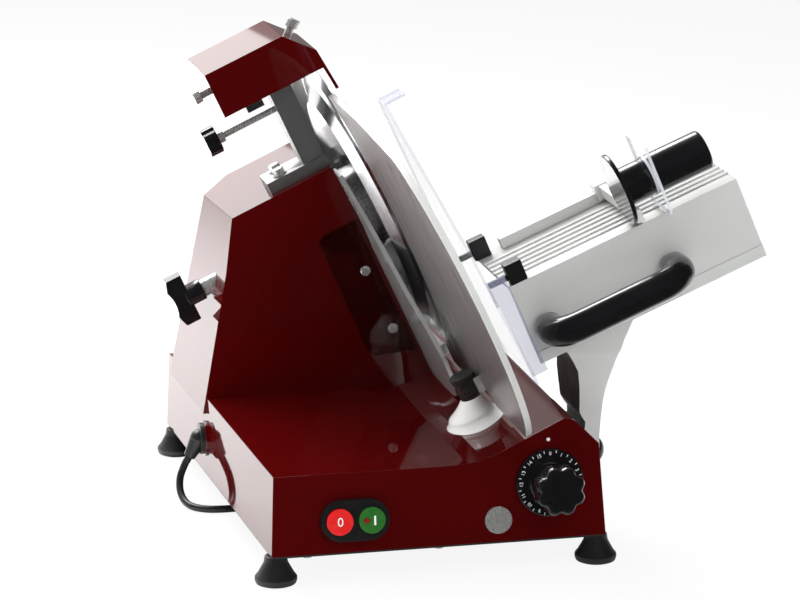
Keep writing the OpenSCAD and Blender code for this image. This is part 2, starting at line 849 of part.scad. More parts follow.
module gauge_slider() {
    color([0.5, 0.51, 0.52])
    tilted() translate([gauge_post_n, gauge_post_y, rod_u]) difference() {
        translate([-24, -16, -8.5]) cube([48, 32, 15]);
        disc_n(rod_r + run_gap, -30, 30);
        translate([0, 0, -20]) cylinder(r = gauge_post_d / 2 + run_gap, h = 60);
    }
}

module gauge_rod() {
    color([0.75, 0.76, 0.78])
    tilted() translate([0, gauge_post_y, rod_u]) disc_n(rod_r, rod_n[0], rod_n[1] + 3);
}

// Block with round ends: half the distance of the ends, their radius and the height
module oblong(half, r, h) {
    for (x = [-half, half])
        translate([x, 0, 0]) cylinder(r = r, h = h);
    translate([-half, -r, 0]) cube([2 * half, 2 * r, h]);
}

module switch_housing() {
    color([0.04, 0.04, 0.04])
    on_front(switch_x, switch_z) difference() {
        union() {
            oblong(switch_half, switch_r, switch_t);
            translate([0, 0, -16]) oblong(switch_half + 1, switch_r - switch_rim - run_gap, 17);
        }
        for (x = [-1, 1])
            translate([x * button_gap / 2, 0, -17]) cylinder(r = button_d / 2 + run_gap, h = 40);
    }
}

module contact_block() {
    color([0.75, 0.75, 0.72])
    on_front(switch_x, switch_z) translate([-25, -13, -46]) cube([50, 26, 30]);
}

module push_button() {
    translate([0, 0, -8]) cylinder(r = button_d / 2, h = 8 + switch_t + button_travel);
}

module stop_button() {
    color([0.8, 0.05, 0.05])
    on_front(switch_x, switch_z) translate([-button_gap / 2, 0, 0]) push_button();
}

module start_button() {
    color([0.1, 0.5, 0.2])
    on_front(switch_x, switch_z) translate([button_gap / 2, 0, 0]) difference() {
        push_button();
        translate([-5, 0, 5]) cylinder(r = lamp_r + run_gap, h = 20);
    }
}

module pilot_lamp() {
    color([0.7, 0.05, 0.05])
    on_front(switch_x, switch_z) translate([button_gap / 2 - 5, 0, 5])
        cylinder(r = lamp_r, h = switch_t + button_travel - 4.6);
}

module start_capacitor() {
    color([0.7, 0.71, 0.73])
    translate([70, 170, base_floor]) cylinder(r = 19, h = 60);
}

module dial_knob() {
    color([0.04, 0.04, 0.04])
    on_front(dial_x, dial_z) union() {
        translate([0, 0, -12]) cylinder(r = dial_shaft_r, h = 14);
        translate([0, 0, 0.4]) cylinder(r = dial_d / 2, h = 5.6);
        translate([0, 0, 5]) cylinder(r = dial_knob_d / 2 - 5, h = 22);
        translate([0, 0, 26]) difference() {
            cylinder(r = dial_knob_d / 2, h = 20);
            for (a = [0:45:315])
                rotate([0, 0, a]) translate([dial_knob_d / 2 + 3, 0, -1]) cylinder(r = 6.5, h = 30);
        }
    }
}

module dial_cam() {
    color([0.75, 0.76, 0.78])
    on_front(dial_x, dial_z) translate([0, 0, -30]) union() {
        cylinder(r = dial_shaft_r, h = 18);
        translate([5, 0, 0]) cylinder(r = 12, h = 14);
    }
}

module carriage_bar() {
    color([0.78, 0.79, 0.81])
    translate([bar_x, base_rear - 3, bar_z]) rotate([90, 0, 0])
        cylinder(r = bar_d / 2, h = base_rear - base_front - 6);
}

module bar_plugs() {
    color([0.8, 0.8, 0.82])
    union() {
        translate([bar_x, base_rear, bar_z]) rotate([90, 0, 0]) cylinder(r = bar_d / 2, h = 2.9);
        on_front(bar_x, bar_z) difference() {
            cylinder(r = bar_d / 2 + 1.5, h = 2);
            translate([0, 0, 1]) cylinder(r = 3, h = 3, $fn = 6);
        }
    }
}

// Strip on the bottom plate that the tongue of the slider runs on
module guide_strip() {
    color([0.6, 0.6, 0.62])
    translate([strip_x - 6, base_front + 24, base_floor])
        cube([12, base_rear - base_front - 50, slider_low - slide_gap - base_floor]);
}

// Tongue of the slider, grown by g on all sides
module tongue(g) {
    translate([bar_x + bar_d / 2 + 1, tongue_y - g, slider_low - g])
        cube([arm_x + tongue_in - bar_x - bar_d / 2 - 1 + g, tongue_w + 2 * g, tongue_h + 2 * g]);
}

module carriage_slider() {
    color([0.5, 0.51, 0.52])
    difference() {
        union() {
            translate([bar_x - slider_half, slider_y, slider_low])
                cube([2 * slider_half, slider_l, bar_d + 6]);
            tongue(0);
        }
        translate([bar_x, slider_y + slider_l + 1, bar_z]) rotate([90, 0, 0])
            cylinder(r = bar_d / 2 + run_gap, h = slider_l + 2);
    }
}

module carriage_arm() {
    color([0.72, 0.73, 0.73])
    difference() {
        intersection() {
            translate([0, 200, 0]) rotate([90, 0, 0]) linear_extrude(200)
                polygon(concat([[arm_x, slider_low - 1], [arm_x + arm_t, slider_low - 1]],
                    smooth_route(arm_outer), smooth_route(arm_inner)));
            translate([200, 0, 0]) rotate([90, 0, 90]) linear_extrude(200)
                polygon(concat([[tongue_y - arm_side, 0]], smooth_route(arm_near), smooth_route(arm_far),
                    [[tongue_y + tongue_w + arm_side, 0]]));
        }
        tongue(run_gap);
        translate([arm_x + 4, lock_y, lock_z]) rotate([0, 90, 0]) cylinder(r = lock_r + run_gap, h = 40);
        on_tray() translate([-100, -100, -tray_t]) cube([600, 600, 300]);
    }
}

module arm_knob() {
    color([0.04, 0.04, 0.04])
    translate([arm_x + arm_t, lock_y, lock_z]) rotate([0, 90, 0]) union() {
        translate([0, 0, 5 - arm_t]) cylinder(r = lock_r, h = arm_t - 3);
        translate([0, 0, slide_gap]) intersection() {
            cylinder(r = lock_knob_r, h = lock_knob_r);
            translate([0, 0, -4]) sphere(r = lock_knob_r + 3);
        }
    }
}

module food_tray() {
    color([0.75, 0.76, 0.76])
    on_tray() difference() {
        union() {
            translate([0, 0, -tray_t]) cube([tray_l, tray_d, tray_t]);
            translate([0, 0, -tray_wall]) cube([tray_l, tray_t, tray_wall]);
            translate([0, -1, -tray_wall]) cube([tray_l, 2, 11]);
            for (k = [0:5])
                translate([0, 22 + k * 12, -0.5]) cube([tray_l, 4, 2]);
        }
        for (x = handle_x)
            translate([x, 10, handle_z]) rotate([90, 0, 0]) cylinder(r = bolt_r + run_gap, h = 20);
    }
}

module tray_handle() {
    color([0.04, 0.04, 0.04])
    on_tray() difference() {
        union() {
            translate([handle_x[0] - 12, handle_y, handle_z]) rotate([0, 90, 0])
                cylinder(r = grip_d / 2, h = handle_x[1] - handle_x[0] + 24);
            for (x = handle_x)
                translate([x, 0, handle_z]) rotate([90, 0, 0]) cylinder(r = 9, h = -handle_y);
        }
        for (x = handle_x)
            translate([x, 1, handle_z]) rotate([90, 0, 0]) cylinder(r = bolt_r + run_gap, h = 16);
    }
}

module handle_screws() {
    color([0.7, 0.71, 0.73])
    on_tray() for (x = handle_x)
        translate([x, tray_t, handle_z]) rotate([90, 0, 0]) union() {
            translate([0, 0, -3]) cylinder(r = 5.5, h = 3);
            translate([0, 0, -1]) cylinder(r = bolt_r, h = tray_t + 13);
        }
}

module hand_guard() {
    color([0.8, 0.85, 0.9, 0.4])
    tilted() union() {
        translate([guard_n, -blade_y, 0]) rotate([90, 0, 90]) linear_extrude(guard_t)
            polygon([[-86, guard_low], [-44, 22], [52, 150], [75, 150], [75, -40], [20, guard_low]]);
        translate([guard_n, tray_y - 4.5 - blade_y, guard_low])
            cube([flange_w, guard_t, flange_top - guard_low]);
        translate([guard_n, 52 - blade_y, 147]) cube([22, 23, guard_t]);
    }
}

// Blocks on the lower end of the tray whose studs hold the hand guard
module guard_blocks() {
    color([0.05, 0.05, 0.05])
    difference() {
        on_tray() for (p = block_at)
            translate([p[0], p[1], 0]) union() {
                cube(block_w);
                translate([1, block_w[1] / 2, stud_z]) rotate([0, -90, 0]) cylinder(r = stud_r, h = 30);
            }
        tilted() translate([guard_n + guard_t - 100, -600, -300]) cube([100, 1200, 600]);
    }
}

module pusher_rail() {
    color([0.75, 0.76, 0.76])
    on_tray() translate([rail_x, rail_y, 0]) cube([tray_l - rail_x - 6, rail_w, rail_h]);
}

module pusher_arm() {
    color([0.72, 0.73, 0.73])
    on_tray() difference() {
        union() {
            translate([saddle_x, rail_y - 4, 2.5]) cube([saddle_l, rail_w + 8, rail_h + 5]);
            translate([disc_x + disc_t, pusher_y - 12, 4]) cube([7, rail_y - pusher_y + 10, 12]);
        }
        translate([saddle_x - 1, rail_y - run_gap, -1])
            cube([saddle_l + 2, rail_w + 2 * run_gap, rail_h + 1 + run_gap]);
    }
}

module pusher_handle() {
    color([0.04, 0.04, 0.04])
    on_tray() translate([disc_x, pusher_y, pusher_z]) rotate([0, 90, 0]) rotate_extrude()
        polygon([[0, 0], [pusher_r, 0], [pusher_r, disc_t], [pusher_d / 2 - 1, disc_t],
            [pusher_d / 2 - 1, shield_x - disc_x - 1], [pusher_d / 2, shield_x - disc_x],
            [pusher_d / 2, 84], [pusher_d / 2 - 2, 86], [0, 86]]);
}

// Clear plate across the grip that keeps the hand behind it
module pusher_shield() {
    color([0.8, 0.85, 0.9, 0.4])
    on_tray() difference() {
        translate([shield_x, pusher_y - 30, 5]) cube([guard_t, 56, pusher_z + pusher_d / 2 + 12]);
        translate([shield_x - 1, pusher_y, pusher_z]) rotate([0, 90, 0])
            cylinder(r = pusher_d / 2 + run_gap, h = guard_t + 2);
    }
}

module cord_gland() {
    color([0.04, 0.04, 0.04])
    translate([gland_x, gland_y, gland_z]) union() {
        rotate([0, -90, 0]) translate([0, 0, -11]) cylinder(r = gland_hole_r, h = 12);
        rotate([0, -90, 0]) cylinder(r = 15, h = gland_flange);
        difference() {
            translate([-gland_flange, 0, 0]) rotate([0, 180 + gland_lean, 0]) union() {
                sphere(r = 9);
                cylinder(r1 = 9, r2 = 5.5, h = gland_l);
            }
            translate([0, -50, -50]) cube(100);
        }
    }
}

function unit(v) = v / norm(v);
function heading(p, i) = unit(p[min(i + 1, len(p) - 1)] - p[max(i - 1, 0)]);
function turned(v, t) = unit(v - (v * t) * t);
// Side vectors carried along a path without twist
function sides_along(p) = [
    for (i = 0, v = turned([0, 0, 1], heading(p, 0)); i < len(p);
        v = turned(v, heading(p, min(i + 1, len(p) - 1))), i = i + 1) v
];
// Smooth curve through the points of a route, two steps from point to point
function curve_at(a, b, c, d, t) = 0.5 * (2 * b + (c - a) * t + (2 * a - 5 * b + 4 * c - d) * t * t
    + (3 * b - a - 3 * c + d) * t * t * t);
function smooth_route(p) = concat(
    [for (i = [0:len(p) - 2], t = [0, 0.5])
        curve_at(p[max(i - 1, 0)], p[i], p[i + 1], p[min(i + 2, len(p) - 1)], t)],
    [p[len(p) - 1]]
);

// A closed tube along a path
module tube(p, r, sides) {
    side = sides_along(p);
    last = (len(p) - 1) * sides;
    points = [for (i = [0:len(p) - 1], k = [0:sides - 1])
        let (a = 360 * k / sides, up = side[i], across = cross(heading(p, i), up))
        p[i] + r * (cos(a) * up + sin(a) * across)];
    walls = [for (i = [0:len(p) - 2], k = [0:sides - 1], h = [0, 1])
        let (a = i * sides + k, b = i * sides + (k + 1) % sides)
        h == 0 ? [a, a + sides, b] : [b, a + sides, b + sides]];
    ends = [for (k = [1:sides - 2], h = [0, 1])
        h == 0 ? [0, k, k + 1] : [last, last + k + 1, last + k]];
    polyhedron(points = points, faces = concat(walls, ends));
}

// Coil: radius and height after t turns, counted from where the cord comes in
function coil_radius(t) = let (s = t - coil_turns)
    s < 0 ? coil_out - coil_pitch * t
    : s < 0.5 ? coil_in - coil_pitch * (s - 2 * s * s)
    : coil_in + coil_pitch * (s - 0.5);
function coil_height(t) = let (s = min(max((t - coil_turns) / 0.5, 0), 1))
    coil_start[2] + coil_step * s * s * (3 - 2 * s);
function coil_point(t) = [
    coil_start[0] + coil_out - coil_radius(t) * cos(360 * t),
    coil_y + coil_radius(t) * sin(360 * t),
    coil_height(t)
];
coil_path = concat(
    [for (s = [0, 4, 8]) coil_start + [0, s, 0]],
    [for (k = [1:coil_rings * (2 * coil_turns + 0.5) - 1]) coil_point(k / coil_rings)],
    [for (s = [0, 10, 20, 30]) [coil_end[0], coil_y + s, coil_start[2] + coil_step + s * 0.073]],
    [coil_end - [0, 4, 0], coil_end]
);
// Least gap of the coil to itself, measured between points half a turn and more apart
coil_gap = min([for (i = [0:len(coil_path) - 1], k = [i + 12:1:len(coil_path) - 1])
    norm(coil_path[i] - coil_path[k])]) - cord_d;
echo(str("least gap of the coil to itself ", coil_gap, " mm"));

module power_cord() {
    color([0.05, 0.05, 0.05])
    tube(smooth_route(cord_route), cord_d / 2, 8);
}

module cord_coil() {
    color([0.05, 0.05, 0.05])
    tube(coil_path, cord_d / 2, coil_sides);
}

// Strap round both layers of the coil, on the side away from the cord
module cord_tie() {
    color([0.1, 0.1, 0.1])
    let (
        x0 = coil_start[0] + coil_out + coil_radius(coil_turns + 0.25) - cord_d / 2 - tie_gap,
        x1 = coil_start[0] + coil_out + coil_radius(0.5) + cord_d / 2 + tie_gap,
        z0 = coil_start[2] - cord_d / 2 - tie_gap,
        z1 = coil_start[2] + coil_step + cord_d / 2 + tie_gap
    )
    difference() {
        translate([x0 - tie_t, coil_y - 3, z0 - tie_t]) cube([x1 - x0 + 2 * tie_t, 6, z1 - z0 + 2 * tie_t]);
        translate([x0, coil_y - 4, z0]) cube([x1 - x0, 8, z1 - z0]);
    }
}

module power_plug() {
    color([0.05, 0.05, 0.05])
    translate(coil_end) rotate([-90, 0, 0]) union() {
        rotate_extrude() polygon([[0, 0], [5, 0], [8, 16], [14, 20], [14, 46], [0, 46]]);
        for (x = [-9.5, 9.5])
            translate([x, 0, 45]) cylinder(r = 2.4, h = 20);
    }
}

placed() body_casting();
placed() bottom_plate();
placed() plate_screws();
placed() rubber_feet();
placed() foot_screws();
placed() motor_case();
placed() drive_belt();
placed() spindle_bearings();
placed() ring_guard();
placed() ring_screws();
placed() slice_deflector();
placed() deflector_screws();
placed() sharpener_post();
placed() post_bolts();
placed() carriage_bar();
placed() bar_plugs();
placed() guide_strip();
placed() switch_housing();
placed() contact_block();
placed() pilot_lamp();
placed() start_capacitor();
placed() gauge_rod();
placed() blade_cover();
placed() blade();
placed() blade_screws();
placed() spindle();
placed() driven_pulley();
placed() motor_shaft();
placed() tie_rod();
placed() wing_knob();
placed() gauge_plate();
placed() gauge_post();
placed() splash_cone();
placed() gauge_slider();
placed() dial_knob();
placed() dial_cam();
placed() stop_button();
placed() start_button();
placed() sharpener_hood();
placed() sharpener_frame();
placed() grinding_pin();
placed() deburring_pin();
placed() sharpener_knob();
placed() carriage_slider();
placed() carriage_arm();
placed() arm_knob();
placed() food_tray();
placed() tray_handle();
placed() handle_screws();
placed() hand_guard();
placed() guard_blocks();
placed() pusher_rail();
placed() pusher_arm();
placed() pusher_handle();
placed() pusher_shield();
placed() cord_gland();
placed() power_cord();
placed() cord_coil();
placed() cord_tie();
placed() power_plug();
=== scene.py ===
"""Gravity-feed food slicer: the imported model, dressed with its real finishes and small forms."""

import logging
import math
from collections.abc import Callable, Iterable, Sequence
from dataclasses import dataclass
from enum import Enum

import bmesh
import bpy
from mathutils import Matrix, Vector


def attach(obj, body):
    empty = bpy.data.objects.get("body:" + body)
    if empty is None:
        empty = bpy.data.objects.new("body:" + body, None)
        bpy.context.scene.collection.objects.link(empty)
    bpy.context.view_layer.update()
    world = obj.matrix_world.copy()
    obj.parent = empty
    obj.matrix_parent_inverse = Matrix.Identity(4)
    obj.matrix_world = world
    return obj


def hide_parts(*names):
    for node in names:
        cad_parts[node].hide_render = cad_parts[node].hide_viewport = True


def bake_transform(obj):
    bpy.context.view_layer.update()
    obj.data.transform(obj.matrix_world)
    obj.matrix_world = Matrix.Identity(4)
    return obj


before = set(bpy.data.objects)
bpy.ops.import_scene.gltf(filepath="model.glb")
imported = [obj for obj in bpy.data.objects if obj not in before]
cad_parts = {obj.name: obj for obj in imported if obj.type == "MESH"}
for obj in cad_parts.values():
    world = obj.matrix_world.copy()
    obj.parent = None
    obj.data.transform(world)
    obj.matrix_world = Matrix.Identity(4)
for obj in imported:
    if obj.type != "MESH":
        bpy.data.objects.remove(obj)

LOG = logging.getLogger("slicer")
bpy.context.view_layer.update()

Rgb = tuple[float, float, float]
Point = tuple[float, float, float]
Span = tuple[float, float]
Socket = bpy.types.NodeSocket
Tree = bpy.types.NodeTree
Mesh = bmesh.types.BMesh
Edge = bmesh.types.BMEdge
Face = bmesh.types.BMFace
EdgeTest = Callable[[Edge], bool]
FaceTest = Callable[[Face], bool]

# Frames of the object in millimetres: the table, the blade, the tray and the front face
MM = 0.001
TABLE = Matrix.Scale(MM, 4) @ Matrix.Translation((-193.55, -176.01, 0.0))
BLADE = TABLE @ Matrix.Translation((160.0, 305.0, 276.0)) @ Matrix.Rotation(math.radians(-25.0), 4, "Y")
TRAY = TABLE @ Matrix.Translation((198.0, -60.0, 274.0)) @ Matrix.Rotation(math.radians(-23.0), 4, "Y")


def on_front(x: float, z: float) -> Matrix:
    """Frame in the plane of the leaning front face.

    Args:
        x: place to the right, in millimetres from the front left foot.
        z: height above the table, in millimetres.

    Returns:
        A frame with x to the right, y up the face and z towards the operator.
    """
    lean = math.radians(4.0)
    y = -12.0 + (z - 28.0) * math.tan(lean)
    return TABLE @ Matrix.Translation((x, y, z)) @ Matrix.Rotation(math.pi / 2 - lean, 4, "X")


class Body(Enum):
    """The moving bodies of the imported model."""

    FRAME = "frame"
    BLADE = "blade_group"
    ROTOR = "rotor"
    TIE = "tie"
    GAUGE = "gauge"
    DIAL = "dial"
    STOP = "stop"
    START = "start"
    SHARPENER = "sharpener"
    GRINDER = "grinder"
    DEBURRER = "deburrer"
    POST_LOCK = "post_lock"
    CARRIAGE = "carriage"
    ARM_LOCK = "arm_lock"
    PUSHER = "pusher"


class Slot(Enum):
    """The material slots of the record."""

    RED_PAINT = "red_paint"
    BLACK_PAINT = "black_paint"
    MOTOR_PAINT = "motor_paint"
    ALUMINIUM = "aluminium"
    STEEL = "steel"
    BLADE_STEEL = "blade_steel"
    RUBBER = "rubber"
    CORD_RUBBER = "cord_rubber"
    BLACK_PLASTIC = "black_plastic"
    PALE_PLASTIC = "pale_plastic"
    RED_PLASTIC = "red_plastic"
    GREEN_PLASTIC = "green_plastic"
    CLEAR_PLASTIC = "clear_plastic"
    SMOKED_PLASTIC = "smoked_plastic"


class ShaderSheet:
    """Lays out the nodes of one material round a single principled shader."""

    def __init__(self, name: str) -> None:
        """Starts an empty node tree with shader and output."""
        self.material = bpy.data.materials.new(name)
        self.material.use_nodes = True
        self.tree = self.material.node_tree
        self.tree.nodes.clear()
        self.out = self.node("ShaderNodeOutputMaterial")
        self.shader = self.node("ShaderNodeBsdfPrincipled")
        self.link(self.shader.outputs["BSDF"], self.out.inputs["Surface"])

    def node(self, kind: str, **settings: object) -> bpy.types.Node:
        """Adds a node and sets its own properties."""
        made = self.tree.nodes.new(kind)
        for key, value in settings.items():
            setattr(made, key, value)
        return made

    def link(self, source: Socket, target: Socket) -> None:
        """Joins two sockets."""
        self.tree.links.new(source, target)

    def constants(self, **values: object) -> None:
        """Sets unlinked sockets of the shader; underscores stand for blanks in their names."""
        for key, value in values.items():
            self.shader.inputs[key.replace("_", " ")].default_value = value

    def coordinates(self, place: Matrix | None = None) -> Socket:
        """Object coordinates, turned and moved into a frame of the object.

        Args:
            place: the frame whose axes the pattern follows, or None for the row frame.

        Returns:
            The vector socket, in metres.
        """
        source = self.node("ShaderNodeTexCoord").outputs["Object"]
        if place is None:
            return source
        turn = self.node("ShaderNodeMapping", vector_type="TEXTURE")
        turn.inputs["Location"].default_value = place.translation
        turn.inputs["Rotation"].default_value = place.to_euler()
        self.link(source, turn.inputs["Vector"])
        return turn.outputs["Vector"]

    def noise(
        self, where: Socket, scale: float, detail: float = 3.0, stretch: Point = (1.0, 1.0, 1.0)
    ) -> Socket:
        """Noise over the surface.

        Args:
            where: the coordinates it reads.
            scale: cells per metre.
            detail: octaves.
            stretch: scale along each axis, to draw it out into lines.

        Returns:
            A value from 0 to 1.
        """
        pulled = self.node("ShaderNodeMapping")
        pulled.inputs["Scale"].default_value = stretch
        self.link(where, pulled.inputs["Vector"])
        made = self.node("ShaderNodeTexNoise")
        made.inputs["Scale"].default_value = scale
        made.inputs["Detail"].default_value = detail
        self.link(pulled.outputs["Vector"], made.inputs["Vector"])
        return made.outputs[0]

    def rings(self, where: Socket, scale: float) -> Socket:
        """Turned marks round the x axis of a frame: noise that depends on the radius alone."""
        flat = self.node("ShaderNodeVectorMath", operation="MULTIPLY")
        flat.inputs[1].default_value = (0.0, 1.0, 1.0)
        self.link(where, flat.inputs[0])
        radius = self.node("ShaderNodeVectorMath", operation="LENGTH")
        self.link(flat.outputs[0], radius.inputs[0])
        made = self.node("ShaderNodeTexNoise", noise_dimensions="1D")
        made.inputs["Scale"].default_value = scale
        made.inputs["Detail"].default_value = 4.0
        self.link(radius.outputs["Value"], made.inputs["W"])
        return made.outputs[0]

    def spread(
        self, value: Socket, low: float, high: float, start: float = 0.3, end: float = 0.7
    ) -> Socket:
        """Maps a noise value to a range.

        Args:
            value: the noise.
            low: result at start and below.
            high: result at end and above.
            start: noise value where the range begins.
            end: noise value where the range ends.

        Returns:
            The mapped value.
        """
        made = self.node("ShaderNodeMapRange", clamp=True)
        for key, number in (("From Min", start), ("From Max", end), ("To Min", low), ("To Max", high)):
            made.inputs[key].default_value = number
        self.link(value, made.inputs["Value"])
        return made.outputs["Result"]

    def product(self, first: Socket, second: Socket) -> Socket:
        """Two values multiplied."""
        made = self.node("ShaderNodeMath", operation="MULTIPLY")
        self.link(first, made.inputs[0])
        self.link(second, made.inputs[1])
        return made.outputs[0]

    def blend(self, factor: Socket, first: Rgb, second: Rgb) -> Socket:
        """A colour between two, by a factor."""
        made = self.node("ShaderNodeMix", data_type="RGBA")
        made.inputs[6].default_value = (*first, 1.0)
        made.inputs[7].default_value = (*second, 1.0)
        self.link(factor, made.inputs[0])
        return made.outputs[2]

    def over(
        self, factor: Socket, ground: Socket, mark: Rgb
    ) -> Socket:
        """A coloured mark laid over a ground colour."""
        made = self.node("ShaderNodeMix", data_type="RGBA")
        self.link(factor, made.inputs[0])
        self.link(ground, made.inputs[6])
        made.inputs[7].default_value = (*mark, 1.0)
        return made.outputs[2]

    def colour(self, source: Socket) -> None:
        """Feeds the base colour."""
        self.link(source, self.shader.inputs["Base Color"])

    def roughness(self, source: Socket) -> None:
        """Feeds the roughness."""
        self.link(source, self.shader.inputs["Roughness"])

    def bump(self, height: Socket, strength: float, distance: float) -> None:
        """Feeds a fine relief to the normal.

        Args:
            height: the relief.
            strength: how much of it shows.
            distance: its full height in metres.
        """
        made = self.node("ShaderNodeBump")
        made.inputs["Strength"].default_value = strength
        made.inputs["Distance"].default_value = distance
        self.link(height, made.inputs["Height"])
        self.link(made.outputs["Normal"], self.shader.inputs["Normal"])


@dataclass(frozen=True)
class Finish:
    """A finish of the object: its name, its slot in the record and its two ground colours."""

    name: str
    slot: Slot
    dark: Rgb
    light: Rgb

    def material(self) -> bpy.types.Material:
        """The finish as a material, made once."""
        known = bpy.data.materials.get(self.name)
        if known is not None:
            return known
        sheet = ShaderSheet(self.name)
        self.lay(sheet)
        return sheet.material

    def lay(self, sheet: ShaderSheet) -> None:
        """Lays the finish's nodes; each kind of finish has its own."""
        raise NotImplementedError


@dataclass(frozen=True)
class Enamel(Finish):
    """Sprayed gloss enamel with a faint orange peel and fine wiping scratches."""

    coat: float = 1.0
    scratch: Rgb = (0.16, 0.03, 0.03)

    def lay(self, sheet: ShaderSheet) -> None:
        """Clouded colour, peel relief and a clear coat."""
        where = sheet.coordinates()
        ground = sheet.blend(sheet.noise(where, 11.0, 4.0), self.dark, self.light)
        lines = sheet.spread(sheet.noise(where, 60.0, 2.0, (1.0, 30.0, 30.0)), 0.0, 1.0, 0.70, 0.74)
        worn = sheet.product(lines, sheet.spread(sheet.noise(where, 7.0, 1.0), 0.0, 0.1, 0.52, 0.62))
        sheet.colour(sheet.over(worn, ground, self.scratch))
        sheet.roughness(sheet.spread(sheet.noise(where, 60.0, 3.0), 0.24, 0.30))
        sheet.bump(sheet.noise(where, 90.0, 1.0), 0.002, 0.0003)
        sheet.constants(Coat_Weight=self.coat, Coat_Roughness=0.03, Coat_IOR=1.55, Specular_IOR_Level=0.0)


@dataclass(frozen=True)
class BrushedMetal(Finish):
    """Satin metal brushed along one direction of a frame."""

    place: Matrix | None = None
    along: Point = (1.0, 1.0, 1.0)
    rough: Span = (0.30, 0.42)
    metallic: float = 1.0
    relief: float = 0.05

    def lay(self, sheet: ShaderSheet) -> None:
        """Brushing lines in roughness and relief, dull clouds in the colour."""
        where = sheet.coordinates(self.place)
        lines = sheet.noise(where, 420.0, 4.0, self.along)
        cloud = sheet.noise(where, 26.0, 4.0)
        sheet.colour(sheet.blend(cloud, self.dark, self.light))
        sheet.roughness(sheet.spread(lines, *self.rough))
        sheet.bump(lines, self.relief, 0.0003)
        sheet.constants(Metallic=self.metallic)


@dataclass(frozen=True)
class TurnedMetal(Finish):
    """Steel with the fine rings of turning or grinding round the x axis of a frame."""

    place: Matrix = BLADE
    rough: Span = (0.12, 0.24)

    def lay(self, sheet: ShaderSheet) -> None:
        """Rings in colour, roughness and relief."""
        where = sheet.coordinates(self.place)
        rings = sheet.rings(where, 900.0)
        sheet.colour(sheet.blend(sheet.noise(where, 22.0, 4.0), self.dark, self.light))
        sheet.roughness(sheet.spread(rings, *self.rough))
        sheet.bump(rings, 0.05, 0.0002)
        sheet.constants(Metallic=1.0)


@dataclass(frozen=True)
class CastMetal(Finish):
    """Tumbled or blasted cast metal with a fine grain."""

    rough: Span = (0.36, 0.52)
    metallic: float = 0.85
    grain: float = 700.0

    def lay(self, sheet: ShaderSheet) -> None:
        """Grain in relief and roughness, clouds in the colour."""
        where = sheet.coordinates()
        grain = sheet.noise(where, self.grain, 3.0)
        sheet.colour(sheet.blend(sheet.noise(where, 30.0, 5.0), self.dark, self.light))
        sheet.roughness(sheet.spread(grain, *self.rough))
        sheet.bump(grain, 0.12, 0.0004)
        sheet.constants(Metallic=self.metallic)


@dataclass(frozen=True)
class Moulded(Finish):
    """Moulded plastic or rubber with a fine skin."""

    rough: Span = (0.16, 0.26)
    skin: float = 1400.0
    relief: float = 0.05
    coat: float = 0.0

    def lay(self, sheet: ShaderSheet) -> None:
        """Skin relief, worn clouds in colour and gloss."""
        where = sheet.coordinates()
        cloud = sheet.noise(where, 45.0, 4.0)
        sheet.colour(sheet.blend(cloud, self.dark, self.light))
        sheet.roughness(sheet.spread(cloud, *self.rough))
        sheet.bump(sheet.noise(where, self.skin, 2.0), self.relief, 0.0003)
        sheet.constants(Coat_Weight=self.coat, Coat_Roughness=0.08)


@dataclass(frozen=True)
class Sheet(Finish):
    """Thin clear or tinted sheet with hairline wiping marks; its cover is the share of light it stops."""

    cover: float = 0.1

    def lay(self, sheet: ShaderSheet) -> None:
        """Hairlines in colour and gloss over an even share of cover."""
        where = sheet.coordinates(BLADE)
        hair = sheet.noise(where, 160.0, 3.0, (1.0, 1.0, 14.0))
        sheet.colour(sheet.blend(hair, self.dark, self.light))
        sheet.roughness(sheet.spread(hair, 0.02, 0.1, 0.45, 0.75))
        sheet.bump(sheet.noise(where, 18.0, 1.0), 0.02, 0.001)
        sheet.constants(Alpha=self.cover, IOR=1.49)


@dataclass(frozen=True)
class Belt(Finish):
    """Black belt with a woven, dusty back."""

    def lay(self, sheet: ShaderSheet) -> None:
        """Fine cross weave with dust."""
        where = sheet.coordinates(BLADE)
        weave = sheet.noise(where, 900.0, 2.0, (4.0, 1.0, 1.0))
        sheet.colour(sheet.blend(weave, self.dark, self.light))
        sheet.roughness(sheet.spread(weave, 0.6, 0.8))
        sheet.bump(weave, 0.2, 0.0004)


# Brushing that follows the length of the tray
LENGTHWISE: Point = (0.03, 1.0, 1.0)


